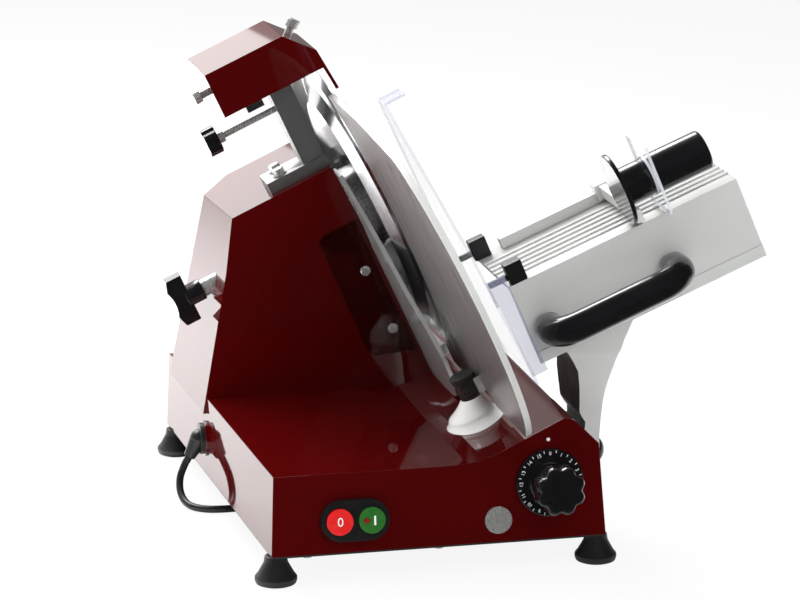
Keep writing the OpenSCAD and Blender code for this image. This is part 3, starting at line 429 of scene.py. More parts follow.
class Finishes:
    """All finishes of this slicer."""

    red = Enamel("red_enamel", Slot.RED_PAINT, (0.056, 0.0010, 0.0012), (0.066, 0.0013, 0.0016))
    tray = BrushedMetal(
        "tray_satin", Slot.ALUMINIUM, (0.57, 0.58, 0.565), (0.64, 0.65, 0.635), TRAY, LENGTHWISE,
        (0.34, 0.46), 0.15,
    )
    # Darker copy of the tray's satin for the bed's upward faces: painted shade that tones down the top light
    # on them.
    bed = BrushedMetal(
        "bed_painted_shade", Slot.ALUMINIUM, (0.34, 0.345, 0.335), (0.40, 0.405, 0.395), TRAY, LENGTHWISE,
        (0.34, 0.46), 0.2,
    )
    plate = BrushedMetal(
        "gauge_satin", Slot.ALUMINIUM, (0.44, 0.42, 0.41), (0.52, 0.50, 0.49), BLADE, (1.0, 1.0, 0.04),
        (0.26, 0.38), 0.85,
    )
    guard_ring = BrushedMetal(
        "ring_satin", Slot.ALUMINIUM, (0.72, 0.72, 0.71), (0.82, 0.82, 0.81), BLADE, (1.0, 0.05, 1.0),
        (0.14, 0.26), 0.7,
    )
    blade = TurnedMetal("blade_ground", Slot.BLADE_STEEL, (0.58, 0.59, 0.61), (0.74, 0.75, 0.77))
    cover = TurnedMetal(
        "cover_turned", Slot.ALUMINIUM, (0.62, 0.62, 0.62), (0.74, 0.74, 0.74), rough=(0.26, 0.38)
    )
    steel = BrushedMetal(
        "bright_steel", Slot.STEEL, (0.50, 0.50, 0.49), (0.62, 0.62, 0.61), None, (1.0, 1.0, 0.2),
        (0.2, 0.34), 0.7,
    )
    cast = CastMetal("cast_grey", Slot.ALUMINIUM, (0.30, 0.30, 0.295), (0.38, 0.38, 0.375))
    arm = CastMetal("arm_cast", Slot.ALUMINIUM, (0.66, 0.66, 0.65), (0.72, 0.72, 0.71), (0.32, 0.46), 0.1)
    cone = CastMetal(
        "cone_polished", Slot.ALUMINIUM, (0.84, 0.835, 0.82), (0.90, 0.895, 0.88), (0.14, 0.22), 0.05, 300.0
    )
    dark_steel = CastMetal(
        "dark_steel", Slot.STEEL, (0.07, 0.072, 0.07), (0.12, 0.123, 0.12), (0.24, 0.4), 0.8
    )
    motor = CastMetal(
        "motor_grey", Slot.MOTOR_PAINT, (0.16, 0.165, 0.175), (0.22, 0.225, 0.235), (0.4, 0.6), 0.3
    )
    plate_black = Moulded(
        "plate_black", Slot.BLACK_PAINT, (0.010, 0.010, 0.011), (0.020, 0.020, 0.021), (0.4, 0.6)
    )
    rubber = Moulded(
        "foot_rubber", Slot.RUBBER, (0.006, 0.006, 0.0065), (0.013, 0.013, 0.0135), (0.34, 0.5), 900.0
    )
    cord = Moulded(
        "cord_jacket", Slot.CORD_RUBBER, (0.006, 0.006, 0.007), (0.012, 0.012, 0.013), (0.36, 0.5), 800.0
    )
    black = Moulded(
        "black_gloss", Slot.BLACK_PLASTIC, (0.004, 0.0042, 0.0048), (0.008, 0.0083, 0.009), coat=0.5
    )
    black_satin = Moulded(
        "black_satin", Slot.BLACK_PLASTIC, (0.006, 0.0062, 0.0066), (0.011, 0.0113, 0.012),
        (0.3, 0.42), 1100.0, 0.1,
    )
    pale = Moulded("pale_plastic", Slot.PALE_PLASTIC, (0.60, 0.60, 0.57), (0.70, 0.70, 0.67), (0.4, 0.55))
    print_white = Moulded(
        "print_white", Slot.PALE_PLASTIC, (0.72, 0.74, 0.74), (0.82, 0.84, 0.84), (0.35, 0.5)
    )
    stop = Moulded("stop_red", Slot.RED_PLASTIC, (0.62, 0.006, 0.006), (0.75, 0.010, 0.009), (0.22, 0.34))
    start = Moulded(
        "start_green", Slot.GREEN_PLASTIC, (0.016, 0.115, 0.014), (0.024, 0.150, 0.020), (0.22, 0.34)
    )
    lamp = Moulded(
        "lamp_red", Slot.RED_PLASTIC, (0.20, 0.010, 0.006), (0.28, 0.014, 0.008), (0.1, 0.2), coat=0.6
    )
    clear = Sheet("clear_sheet", Slot.CLEAR_PLASTIC, (0.70, 0.72, 0.75), (0.78, 0.80, 0.83))
    guard_edge = Sheet("guard_edge", Slot.CLEAR_PLASTIC, (0.36, 0.37, 0.52), (0.46, 0.47, 0.62), 0.32)
    shield_edge = Sheet("shield_edge", Slot.CLEAR_PLASTIC, (0.66, 0.68, 0.74), (0.76, 0.78, 0.84), 0.75)
    smoked = Sheet("smoked_sheet", Slot.SMOKED_PLASTIC, (0.012, 0.002, 0.002), (0.020, 0.004, 0.004), 0.3)
    belt = Belt("belt_black", Slot.RUBBER, (0.010, 0.010, 0.010), (0.030, 0.029, 0.028))


def convex(edge: Edge, least: float) -> bool:
    """True for an outer edge that turns by at least some degrees."""
    return len(edge.link_faces) == 2 and edge.calc_face_angle_signed(0.0) > math.radians(least)


def copy_of(node: str) -> Mesh:
    """A CAD node's form with its triangles joined into whole faces.

    Args:
        node: name of the node.

    Returns:
        A new mesh in metres; the node itself is left alone.
    """
    bm = bmesh.new()
    bm.from_mesh(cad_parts[node].data)
    bmesh.ops.remove_doubles(bm, verts=bm.verts, dist=2e-6)
    bmesh.ops.dissolve_limit(
        bm, angle_limit=math.radians(0.4), use_dissolve_boundaries=False, verts=bm.verts, edges=bm.edges,
        delimit=set(),
    )
    return bm


def round_edges(bm: Mesh, edges: Iterable[Edge], width: float, segments: int = 2) -> None:
    """Rounds chosen edges.

    Args:
        bm: the mesh.
        edges: the edges to round.
        width: width of the round, in the mesh's own unit.
        segments: faces across the round.
    """
    bmesh.ops.bevel(
        bm, geom=list(edges), offset=width, offset_type="OFFSET", segments=segments, profile=0.5,
        affect="EDGES", clamp_overlap=True, material=-1,
    )


def lathe(profile: Sequence[Span], steps: int = 48) -> Mesh:
    """A turned form round the z axis.

    Args:
        profile: radius and height of each point, from one end to the other.
        steps: faces round the form.

    Returns:
        The closed mesh.
    """
    bm = bmesh.new()
    line = [bm.verts.new((r, 0.0, h)) for r, h in profile]
    edges = [bm.edges.new(pair) for pair in zip(line, line[1:])]
    bmesh.ops.spin(
        bm, geom=[*line, *edges], cent=(0, 0, 0), axis=(0, 0, 1), angle=2 * math.pi, steps=steps,
        use_merge=True, use_duplicate=False,
    )
    bmesh.ops.remove_doubles(bm, verts=bm.verts, dist=1e-4)
    bmesh.ops.recalc_face_normals(bm, faces=bm.faces)
    return bm


def merge(bm: Mesh, part: Mesh) -> None:
    """Puts a part into a mesh and frees the part."""
    mesh = bpy.data.meshes.new("part")
    part.to_mesh(mesh)
    part.free()
    bm.from_mesh(mesh)
    bpy.data.meshes.remove(mesh)


def placed(name: str, data: bpy.types.ID) -> bpy.types.Object:
    """A new object of the scene, at the origin."""
    made = bpy.data.objects.new(name, data)
    bpy.context.scene.collection.objects.link(made)
    return made


def brick(low: Point, high: Point, radius: float, segments: int = 2) -> Mesh:
    """A block with rounded edges between two corners."""
    size = Vector(high) - Vector(low)
    bm = bmesh.new()
    middle = Matrix.Translation((Vector(low) + Vector(high)) / 2)
    bmesh.ops.create_cube(bm, size=1.0, matrix=middle @ Matrix.Diagonal((*size, 1.0)))
    round_edges(bm, bm.edges, radius, segments)
    return bm


def screw_head(radius: float, height: float, slot: float) -> Mesh:
    """A pan head with a cross recess, its seat at height 0.

    Args:
        radius: radius of the head.
        height: height of its crown.
        slot: half the width of the recess.

    Returns:
        The head, looking along +z.
    """
    bm = lathe(
        [(0.0, 0.0), (radius, 0.0), (radius, height * 0.45), (radius * 0.86, height * 0.82),
         (radius * 0.62, height), (0.0, height)], 32
    )
    reach = radius * 0.56
    for axis in ((1, 0, 0), (0, 1, 0)):
        for at in (-reach, -slot, slot, reach):
            bmesh.ops.bisect_plane(
                bm, geom=[*bm.verts, *bm.edges, *bm.faces], dist=1e-5, plane_co=Vector(axis) * at,
                plane_no=axis,
            )
    recess = [
        f for f in bm.faces
        if f.normal.z > 0.95 and f.calc_center_median().z > height * 0.9
        and min(abs(f.calc_center_median().x), abs(f.calc_center_median().y)) < slot
        and max(abs(f.calc_center_median().x), abs(f.calc_center_median().y)) < reach
    ]
    grown = bmesh.ops.extrude_face_region(bm, geom=recess)["geom"]
    sunk = [v for v in grown if isinstance(v, bmesh.types.BMVert)]
    bmesh.ops.translate(bm, verts=sunk, vec=(0, 0, -height * 0.6))
    bmesh.ops.delete(bm, geom=recess, context="FACES_ONLY")
    return bm


def lettering(text: str, size: float, thickness: float) -> Mesh:
    """A figure or mark as a thin raised form, centred on the origin.

    Args:
        text: the figure.
        size: its height in millimetres.
        thickness: how far it stands up.

    Returns:
        Its mesh.
    """
    curve = bpy.data.curves.new("figure", "FONT")
    curve.body = text
    curve.size = size
    curve.align_x = "CENTER"
    curve.align_y = "CENTER"
    curve.resolution_u = 4
    curve.extrude = thickness / 2
    holder = placed("figure", curve)
    bpy.context.view_layer.update()
    mesh = bpy.data.meshes.new_from_object(holder.evaluated_get(bpy.context.evaluated_depsgraph_get()))
    bm = bmesh.new()
    bm.from_mesh(mesh)
    bmesh.ops.remove_doubles(bm, verts=bm.verts, dist=1e-5)
    bpy.data.objects.remove(holder)
    bpy.data.curves.remove(curve)
    bpy.data.meshes.remove(mesh)
    return bm


class Assembly:
    """A sub-assembly that builds and dresses its own pieces."""

    def build(self) -> None:
        """Builds every piece of the sub-assembly."""
        raise NotImplementedError

    def keep(self, node: str, finish: Finish) -> None:
        """Leaves a CAD node's form as it is and gives it its finish."""
        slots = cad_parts[node].data.materials
        slots.clear()
        slots.append(finish.material())
        LOG.info("kept %s in %s", node, finish.name)

    def add(
        self, name: str, bm: Mesh, finish: Finish, body: Body | None, place: Matrix | None = None,
        nodes: Sequence[str] = (), second: Finish | None = None, pick: FaceTest | None = None,
        sharp: float = 38.0,
    ) -> bpy.types.Object:
        """Turns a mesh into a finished piece that rides on a body.

        Args:
            name: name of the piece.
            bm: its mesh; it is freed here.
            finish: its finish.
            body: the body that it moves with, or None for a piece that rides on no body.
            place: frame of the mesh, or None where it is in metres already.
            nodes: CAD nodes that it stands for.
            second: finish of the faces that pick chooses.
            pick: chooses the faces of the second finish, in the mesh's own frame.
            sharp: angle in degrees above which an edge stays sharp.

        Returns:
            The piece's object, at the origin.
        """
        if pick is not None:
            bm.normal_update()
            for face in bm.faces:
                face.material_index = int(pick(face))
        if place is not None:
            bmesh.ops.transform(bm, matrix=place, verts=bm.verts)
        mesh = bpy.data.meshes.new(name)
        bm.to_mesh(mesh)
        bm.free()
        mesh.materials.append(finish.material())
        if second is not None:
            mesh.materials.append(second.material())
        mesh.shade_smooth()
        mesh.set_sharp_from_angle(angle=math.radians(sharp))
        piece = placed(name, mesh)
        even = piece.modifiers.new("even_normals", "WEIGHTED_NORMAL")
        even.keep_sharp = True
        if body is not None:
            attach(piece, body.value)
        if nodes:
            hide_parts(*nodes)
        LOG.info("made %s in %s", name, finish.name)
        return piece

    def soften(
        self, node: str, finish: Finish, body: Body, width: float, segments: int = 2, least: float = 30.0,
        chosen: EdgeTest | None = None, second: Finish | None = None, pick: FaceTest | None = None,
    ) -> bpy.types.Object:
        """Stands a copy of a CAD node in its place, with its outer edges rounded.

        Args:
            node: the CAD node.
            finish: the finish of the copy.
            body: the body of the node.
            width: width of the round in millimetres.
            segments: faces across the round.
            least: least turn in degrees of an edge that is rounded.
            chosen: narrows the edges down, or None for all outer edges.
            second: finish of the faces that pick chooses.
            pick: chooses the faces of the second finish, in metres.

        Returns:
            The piece.
        """
        bm = copy_of(node)
        edges = [e for e in bm.edges if convex(e, least) and (chosen is None or chosen(e))]
        round_edges(bm, edges, width * MM, segments)
        return self.add(node + "_form", bm, finish, body, nodes=(node,), second=second, pick=pick)


@dataclass
class Studio:
    """Camera, lamps, floor and background of the photograph."""

    azimuth: float = -13.0
    elevation: float = 14.0
    stand: Point = (-0.74955, -3.08301, 0.997)
    lens: float = 157.5
    floor_size: float = 14.0
    room_edge: Span = (-0.36, -0.06)
    room_dark: float = 0.015

    def build(self) -> None:
        """Sets up the whole studio."""
        bpy.context.scene.view_settings.view_transform = "Standard"
        self.camera()
        self.floor()
        self.world()
        self.lamp("top_softbox", (-0.25, 0.1, 2.0), (-0.02, 0.0, 0.2), 1.9, 24.0, False)
        self.lamp("left_softbox", (-2.2, -0.2, 1.0), (-0.05, 0.0, 0.2), 1.6, 38.0, False)
        self.lamp("back_softbox", (-1.05, 2.6, 1.6), (-0.1, 0.1, 0.4), 2.0, 22.0)
        self.lamp("sweep_softbox", (-0.5, 1.1, 1.35), (-0.5, 1.1, 0.0), 1.3, 48.0)
        self.lamp("front_softbox", (0.25, -2.2, 1.5), (0.0, 0.0, 0.2), 2.0, 44.0, False)

    def camera(self) -> None:
        """The photograph's viewpoint."""
        data = bpy.data.cameras.new("photo_camera")
        data.sensor_width = 36.0
        data.lens = self.lens
        data.clip_end = 100.0
        eye = placed("photo_camera", data)
        a, e = math.radians(self.azimuth), math.radians(self.elevation)
        back = Vector((math.sin(a) * math.cos(e), -math.cos(a) * math.cos(e), math.sin(e)))
        eye.location = self.stand
        eye.rotation_mode = "QUATERNION"
        eye.rotation_quaternion = (-back).to_track_quat("-Z", "Y")
        bpy.context.scene.camera = eye

    def join(
        self, tree: Tree, operation: str, first: Socket, second: Socket | float
    ) -> Socket:
        """Joins a value with another value or with a number."""
        made = tree.nodes.new("ShaderNodeMath")
        made.operation = operation
        tree.links.new(first, made.inputs[0])
        if isinstance(second, float):
            made.inputs[1].default_value = second
        else:
            tree.links.new(second, made.inputs[1])
        return made.outputs[0]

    def step(
        self, tree: Tree, value: Socket, ends: Span, result: Span
    ) -> Socket:
        """Smooth step of a value between two ends.

        Args:
            tree: the node tree.
            value: the value.
            ends: where the step begins and ends.
            result: the results before and after it.

        Returns:
            The stepped value.
        """
        made = tree.nodes.new("ShaderNodeMapRange")
        made.interpolation_type = "SMOOTHSTEP"
        for key, number in zip(("From Min", "From Max", "To Min", "To Max"), (*ends, *result)):
            made.inputs[key].default_value = number
        tree.links.new(value, made.inputs["Value"])
        return made.outputs["Result"]

    def seen(self, tree: Tree) -> Socket:
        """One for rays that show the background, from the camera or through clear sheets."""
        path = tree.nodes.new("ShaderNodeLightPath")
        return self.join(tree, "MAXIMUM", path.outputs["Is Camera Ray"], path.outputs["Is Transmission Ray"])

    def floor(self) -> None:
        """Pale floor that keeps the soft shadow of the object."""
        bm = bmesh.new()
        bmesh.ops.create_grid(bm, x_segments=8, y_segments=8, size=self.floor_size / 2)
        mesh = bpy.data.meshes.new("studio_floor")
        bm.to_mesh(mesh)
        bm.free()
        floor = placed("studio_floor", mesh)
        material = bpy.data.materials.new("floor_white")
        material.use_nodes = True
        tree = material.node_tree
        tree.nodes.clear()
        axes = tree.nodes.new("ShaderNodeSeparateXYZ")
        tree.links.new(tree.nodes.new("ShaderNodeTexCoord").outputs["Object"], axes.inputs[0])
        lit = self.step(tree, axes.outputs["Y"], self.room_edge, (self.room_dark, 1.0))
        cloth = tree.nodes.new("ShaderNodeBsdfDiffuse")
        cloth.inputs["Color"].default_value = (0.86, 0.86, 0.86, 1.0)
        white = tree.nodes.new("ShaderNodeEmission")
        room = tree.nodes.new("ShaderNodeEmission")
        tree.links.new(lit, room.inputs["Strength"])
        shown = tree.nodes.new("ShaderNodeMixShader")
        tree.links.new(self.join(tree, "MULTIPLY", self.seen(tree), 0.9), shown.inputs[0])
        tree.links.new(cloth.outputs[0], shown.inputs[1])
        tree.links.new(white.outputs[0], shown.inputs[2])
        path = tree.nodes.new("ShaderNodeLightPath")
        dim = self.step(tree, lit, (0.0, 1.0), (1.0, 0.0))
        mirrored = tree.nodes.new("ShaderNodeMixShader")
        tree.links.new(self.join(tree, "MULTIPLY", path.outputs["Is Glossy Ray"], dim), mirrored.inputs[0])
        tree.links.new(shown.outputs[0], mirrored.inputs[1])
        tree.links.new(room.outputs[0], mirrored.inputs[2])
        out = tree.nodes.new("ShaderNodeOutputMaterial")
        tree.links.new(mirrored.outputs[0], out.inputs["Surface"])
        mesh.materials.append(material)

    def world(self) -> None:
        """White sweep behind and beside the object, a darker room in front of it."""
        world = bpy.data.worlds.new("studio")
        bpy.context.scene.world = world
        world.use_nodes = True
        tree = world.node_tree
        tree.nodes.clear()
        where = tree.nodes.new("ShaderNodeTexCoord")
        axes = tree.nodes.new("ShaderNodeSeparateXYZ")
        tree.links.new(where.outputs["Generated"], axes.inputs[0])
        room = self.step(tree, axes.outputs["Y"], (0.0, 0.85), (self.room_dark, 0.7))
        side = self.step(tree, axes.outputs["X"], (-0.2, 0.35), (1.0, 0.25))
        lit = tree.nodes.new("ShaderNodeBackground")
        tree.links.new(self.join(tree, "MULTIPLY", room, side), lit.inputs["Strength"])
        white = tree.nodes.new("ShaderNodeBackground")
        for shade in (white, lit):
            shade.inputs["Color"].default_value = (1.0, 1.0, 1.0, 1.0)
        mix = tree.nodes.new("ShaderNodeMixShader")
        tree.links.new(self.seen(tree), mix.inputs[0])
        tree.links.new(lit.outputs[0], mix.inputs[1])
        tree.links.new(white.outputs[0], mix.inputs[2])
        out = tree.nodes.new("ShaderNodeOutputWorld")
        tree.links.new(mix.outputs[0], out.inputs["Surface"])

    def lamp(
        self, name: str, stand: Point, aim: Point, size: float, power: float, mirrored: bool = True
    ) -> None:
        """A square softbox.

        Args:
            name: name of the lamp.
            stand: where it stands, in metres.
            aim: the point that it faces.
            size: length of its side.
            power: its power in watts.
            mirrored: whether gloss shows the lamp itself.
        """
        data = bpy.data.lights.new(name, "AREA")
        data.size = size
        data.energy = power
        lamp = placed(name, data)
        lamp.visible_camera = False
        lamp.visible_glossy = mirrored
        lamp.location = stand
        lamp.rotation_mode = "QUATERNION"
        lamp.rotation_quaternion = (Vector(aim) - Vector(stand)).to_track_quat("-Z", "Y")


@dataclass
class Lead(Assembly):
    """Power cord with its coil, tie, gland and plug."""

    diameter: float = 7.0
    route: tuple[Point, ...] = (
        (-31, 262, 43.7), (-33, 262, 40.2), (-35, 262, 36.8), (-40.2, 259.4, 25), (-41.8, 252, 14.2),
        (-39.6, 241.4, 6.8), (-34, 229.7, 4), (-23, 219.4, 3.8), (-8.5, 215.6, 3.8), (8, 215.6, 3.8),
        (25, 215.6, 3.8), (42.2, 219, 3.8), (56.8, 228.8, 3.8), (66.6, 243.4, 3.8), (70, 260.6, 3.8),
        (70, 300, 3.8), (70, 340, 3.8), (70, 380, 3.8), (70, 420, 3.8), (70, 450, 4.4), (70, 478, 5.2),
        (70, 487, 5.2), (70, 495, 5.2),
    )
    coil_out: float = 49.5
    lead_in: float = 10.0
    pitch: float = 7.8
    turns: float = 2.25
    step: float = 7.6
    rings: int = 36

    def curve_point(self, i: int, t: float) -> Vector:
        """Point on the smooth curve through the route, between point i and the next."""
        last = len(self.route) - 1
        a, b, c, d = (Vector(self.route[min(max(k, 0), last)]) for k in (i - 1, i, i + 1, i + 2))
        square = 2 * a - 5 * b + 4 * c - d
        cube = 3 * b - a - 3 * c + d
        return 0.5 * (2 * b + (c - a) * t + square * t * t + cube * t ** 3)

    def coil_point(self, t: float) -> Vector:
        """Point on the coil after t turns, counted from where the cord comes in."""
        start = Vector(self.route[-1])
        inner = self.coil_out - self.pitch * self.turns
        s = t - self.turns
        if s < 0:
            radius = self.coil_out - self.pitch * t
        elif s < 0.5:
            radius = inner - self.pitch * (s - 2 * s * s)
        else:
            radius = inner + self.pitch * (s - 0.5)
        climb = min(max(s / 0.5, 0.0), 1.0)
        a = 2 * math.pi * t
        return Vector((
            start.x + self.coil_out - radius * math.cos(a),
            start.y + self.lead_in + radius * math.sin(a),
            start.z + self.step * climb * climb * (3 - 2 * climb),
        ))

    def line(self) -> list[Vector]:
        """The whole centreline in millimetres, from the gland to the plug."""
        start = Vector(self.route[-1])
        middle = start.y + self.lead_in
        points = [self.curve_point(i, t / 6) for i in range(len(self.route) - 1) for t in range(6)]
        points += [start + Vector((0, s, 0)) for s in (0, 4, 8)]
        whole = 2 * self.turns + 0.5
        points += [self.coil_point(k / self.rings) for k in range(1, round(self.rings * whole))]
        points += [Vector((start.x, middle + s, start.z + self.step + s * 0.073)) for s in (0, 10, 20, 30)]
        points += [Vector((start.x, middle + 38, 15.0)), Vector((start.x, middle + 42, 15.0))]
        return points

    def build(self) -> None:
        """Lays the cord and dresses what is on it."""
        points = [TABLE @ p for p in self.line()]
        curve = bpy.data.curves.new("power_cord_line", "CURVE")
        curve.dimensions = "3D"
        curve.bevel_depth = self.diameter / 2 * MM
        curve.bevel_resolution = 5
        curve.use_fill_caps = True
        spline = curve.splines.new("POLY")
        spline.points.add(len(points) - 1)
        for spot, point in zip(spline.points, points):
            spot.co = (*point, 1.0)
        spline.use_smooth = True
        curve.materials.append(Finishes.cord.material())
        cord = placed("power_cord_line", curve)
        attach(cord, Body.FRAME.value)
        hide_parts("power_cord", "cord_coil")
        self.keep("cord_gland", Finishes.black_satin)
        tie = self.soften("cord_tie", Finishes.black_satin, Body.FRAME, 0.4)
        plug = self.plug()

    def plug(self) -> list[bpy.types.Object]:
        """Two-pin plug with a ribbed sleeve."""
        end = self.line()[-1]
        place = TABLE @ Matrix.Translation(end) @ Matrix.Rotation(-math.pi / 2, 4, "X")
        sleeve = [(0.0, 0.0), (4.6, 0.0), (5.0, 0.6)]
        for k in range(4):
            h = 1.5 + 3.5 * k
            grow = 5.0 + 3.0 * h / 16.0
            sleeve += [(grow, h), (grow, h + 2.0), (grow - 0.9, h + 2.4), (grow - 0.9, h + 3.1)]
        sleeve += [(8.0, 16.0), (13.0, 19.3), (14.0, 20.6), (14.0, 45.0), (13.2, 46.0), (0.0, 46.0)]
        body = self.add("plug_body", lathe(sleeve), Finishes.black_satin, Body.FRAME, place, ("power_plug",))
        pins = bmesh.new()
        for x in (-9.5, 9.5):
            pin = lathe([(0.0, 45.0), (2.4, 45.0), (2.4, 63.6), (1.6, 65.0), (0.0, 65.0)], 24)
            bmesh.ops.translate(pin, verts=pin.verts, vec=(x, 0, 0))
            merge(pins, pin)
        return [body, self.add("plug_pins", pins, Finishes.steel, Body.FRAME, place)]


@dataclass
class Casting(Assembly):
    """Red body casting with plate, feet and the parts fixed to it."""

    edge: float = 2.6
    least_turn: float = 22.0
    underside: float = 29.5
    shortest: float = 2.2
    hub: float = 40.0
    screw_u: Span = (-45.0, -109.0)
    screw_n: float = -42.0
    screw_y: float = -46.0

    def outer(self, edge: Edge) -> bool:
        """True for an edge of the casting's outside that is not on a hole or slot.

        Args:
            edge: an edge of the casting, in metres.

        Returns:
            Whether the edge gets the casting's large round.
        """
        middle = (edge.verts[0].co + edge.verts[1].co) / 2
        local = TABLE.inverted() @ middle
        blade = BLADE.inverted() @ middle
        if local.z < self.underside or edge.calc_length() < self.shortest * MM:
            return False
        tongue_slot = local.x > 285 and local.z < 58 and 66 < local.y < 374
        switch_hole = local.y < 0 and 42 < local.x < 100 and local.z < 76
        gauge_slot = -60 < blade.x < 0 and -225 < blade.y < -195 and blade.z < -140
        near_axis = math.hypot(blade.y, blade.z) < self.hub
        return not (tongue_slot or switch_hole or gauge_slot or near_axis)

    def build(self) -> None:
        """Dresses the casting and what is screwed to it."""
        self.soften("body_casting", Finishes.red, Body.FRAME, self.edge, 3, self.least_turn, self.outer)
        self.soften("bottom_plate", Finishes.plate_black, Body.FRAME, 0.4, 1)
        self.soften("rubber_feet", Finishes.rubber, Body.FRAME, 0.5)
        self.soften("sharpener_post", Finishes.cast, Body.FRAME, 1.2)
        self.soften("post_bolts", Finishes.steel, Body.FRAME, 0.4, 1)
        self.soften("ring_guard", Finishes.guard_ring, Body.FRAME, 0.6)
        self.soften("slice_deflector", Finishes.smoked, Body.FRAME, 0.5)
        self.soften("splash_cone", Finishes.cone, Body.FRAME, 1.0)
        self.soften("bar_plugs", Finishes.steel, Body.FRAME, 0.5)
        self.deflector_screws()
        for node in (
            "plate_screws", "foot_screws", "ring_screws", "spindle_bearings", "carriage_bar", "guide_strip",
            "gauge_rod",
        ):
            self.keep(node, Finishes.steel)
        self.keep("motor_case", Finishes.motor)
        self.keep("drive_belt", Finishes.belt)
        self.keep("contact_block", Finishes.pale)
        self.keep("start_capacitor", Finishes.cover)

    def deflector_screws(self) -> None:
        """Pan heads with cross recesses on the clear deflector."""
        bm = bmesh.new()
        for u in self.screw_u:
            head = screw_head(5.0, 2.6, 0.7)
            shank = lathe([(0.0, -5.0), (2.5, -5.0), (2.5, 0.1), (0.0, 0.1)], 16)
            seat = Matrix.Translation((self.screw_n, self.screw_y, u))
            place = seat @ Matrix.Rotation(math.pi / 2, 4, "X")
            for part in (head, shank):
                bmesh.ops.transform(part, matrix=place, verts=part.verts)
                merge(bm, part)
        self.add("deflector_screw_heads", bm, Finishes.steel, Body.FRAME, BLADE, ("deflector_screws",))


@dataclass
class BladeUnit(Assembly):
    """Blade, spindle, cover and the tie rod with its wing knob."""

    def build(self) -> None:
        """Dresses the turning parts."""
        self.keep("blade", Finishes.blade)
        self.keep("blade_screws", Finishes.steel)
        self.keep("spindle", Finishes.steel)
        self.keep("driven_pulley", Finishes.cover)
        self.keep("motor_shaft", Finishes.steel)
        self.soften("blade_cover", Finishes.cover, Body.FRAME, 1.0)
        self.soften("tie_rod", Finishes.steel, Body.TIE, 0.6)
        self.soften("wing_knob", Finishes.black, Body.TIE, 2.2, 3)


@dataclass
class GaugeUnit(Assembly):
    """Gauge plate with its post and the soft collar between post and splash cone."""

    ramp: float = -170.498
    post_y: float = -210.0
    foot_n: float = -27.5
    post_n: float = -20.0
    foot_h: float = 1.3
    top_gap: float = 0.4
    collar: tuple[Span, ...] = (
        (20.4, 8.8), (21.9, 8.8), (21.0, 10.2), (18.6, 12.2), (16.2, 14.4), (14.2, 16.8), (12.6, 19.2),
        (11.3, 21.6), (10.6, 23.2), (10.1, 23.4), (10.1, 22.0), (11.4, 19.4), (13.2, 16.4), (15.6, 13.4),
        (18.4, 10.6), (20.4, 8.8),
    )

    def rim(self, face: Face) -> bool:
        """True for the edge of the gauge plate that faces the operator."""
        return face.normal.y < -0.25

    def build(self) -> None:
        """Dresses the gauge."""
        self.soften("gauge_plate", Finishes.plate, Body.GAUGE, 1.0, 3, second=Finishes.tray, pick=self.rim)
        self.soften("gauge_post", Finishes.dark_steel, Body.GAUGE, 0.8)
        self.keep("gauge_slider", Finishes.cast)
        self.sleeve()

    def sleeve(self) -> None:
        """Collar whose foot sits on the cone and whose top is leaned over onto the post."""
        bm = lathe(self.collar, 64)
        low = self.collar[0][1] + self.foot_h
        high = max(h for _, h in self.collar)
        for vert in bm.verts:
            share = max(0.0, (vert.co.z - low) / (high - low))
            vert.co.x += (self.post_n - self.foot_n) * share
        foot = BLADE @ Matrix.Translation((self.foot_n, self.post_y, self.ramp))
        piece = self.add("splash_collar", bm, Finishes.cone, None, foot)
        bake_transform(piece)


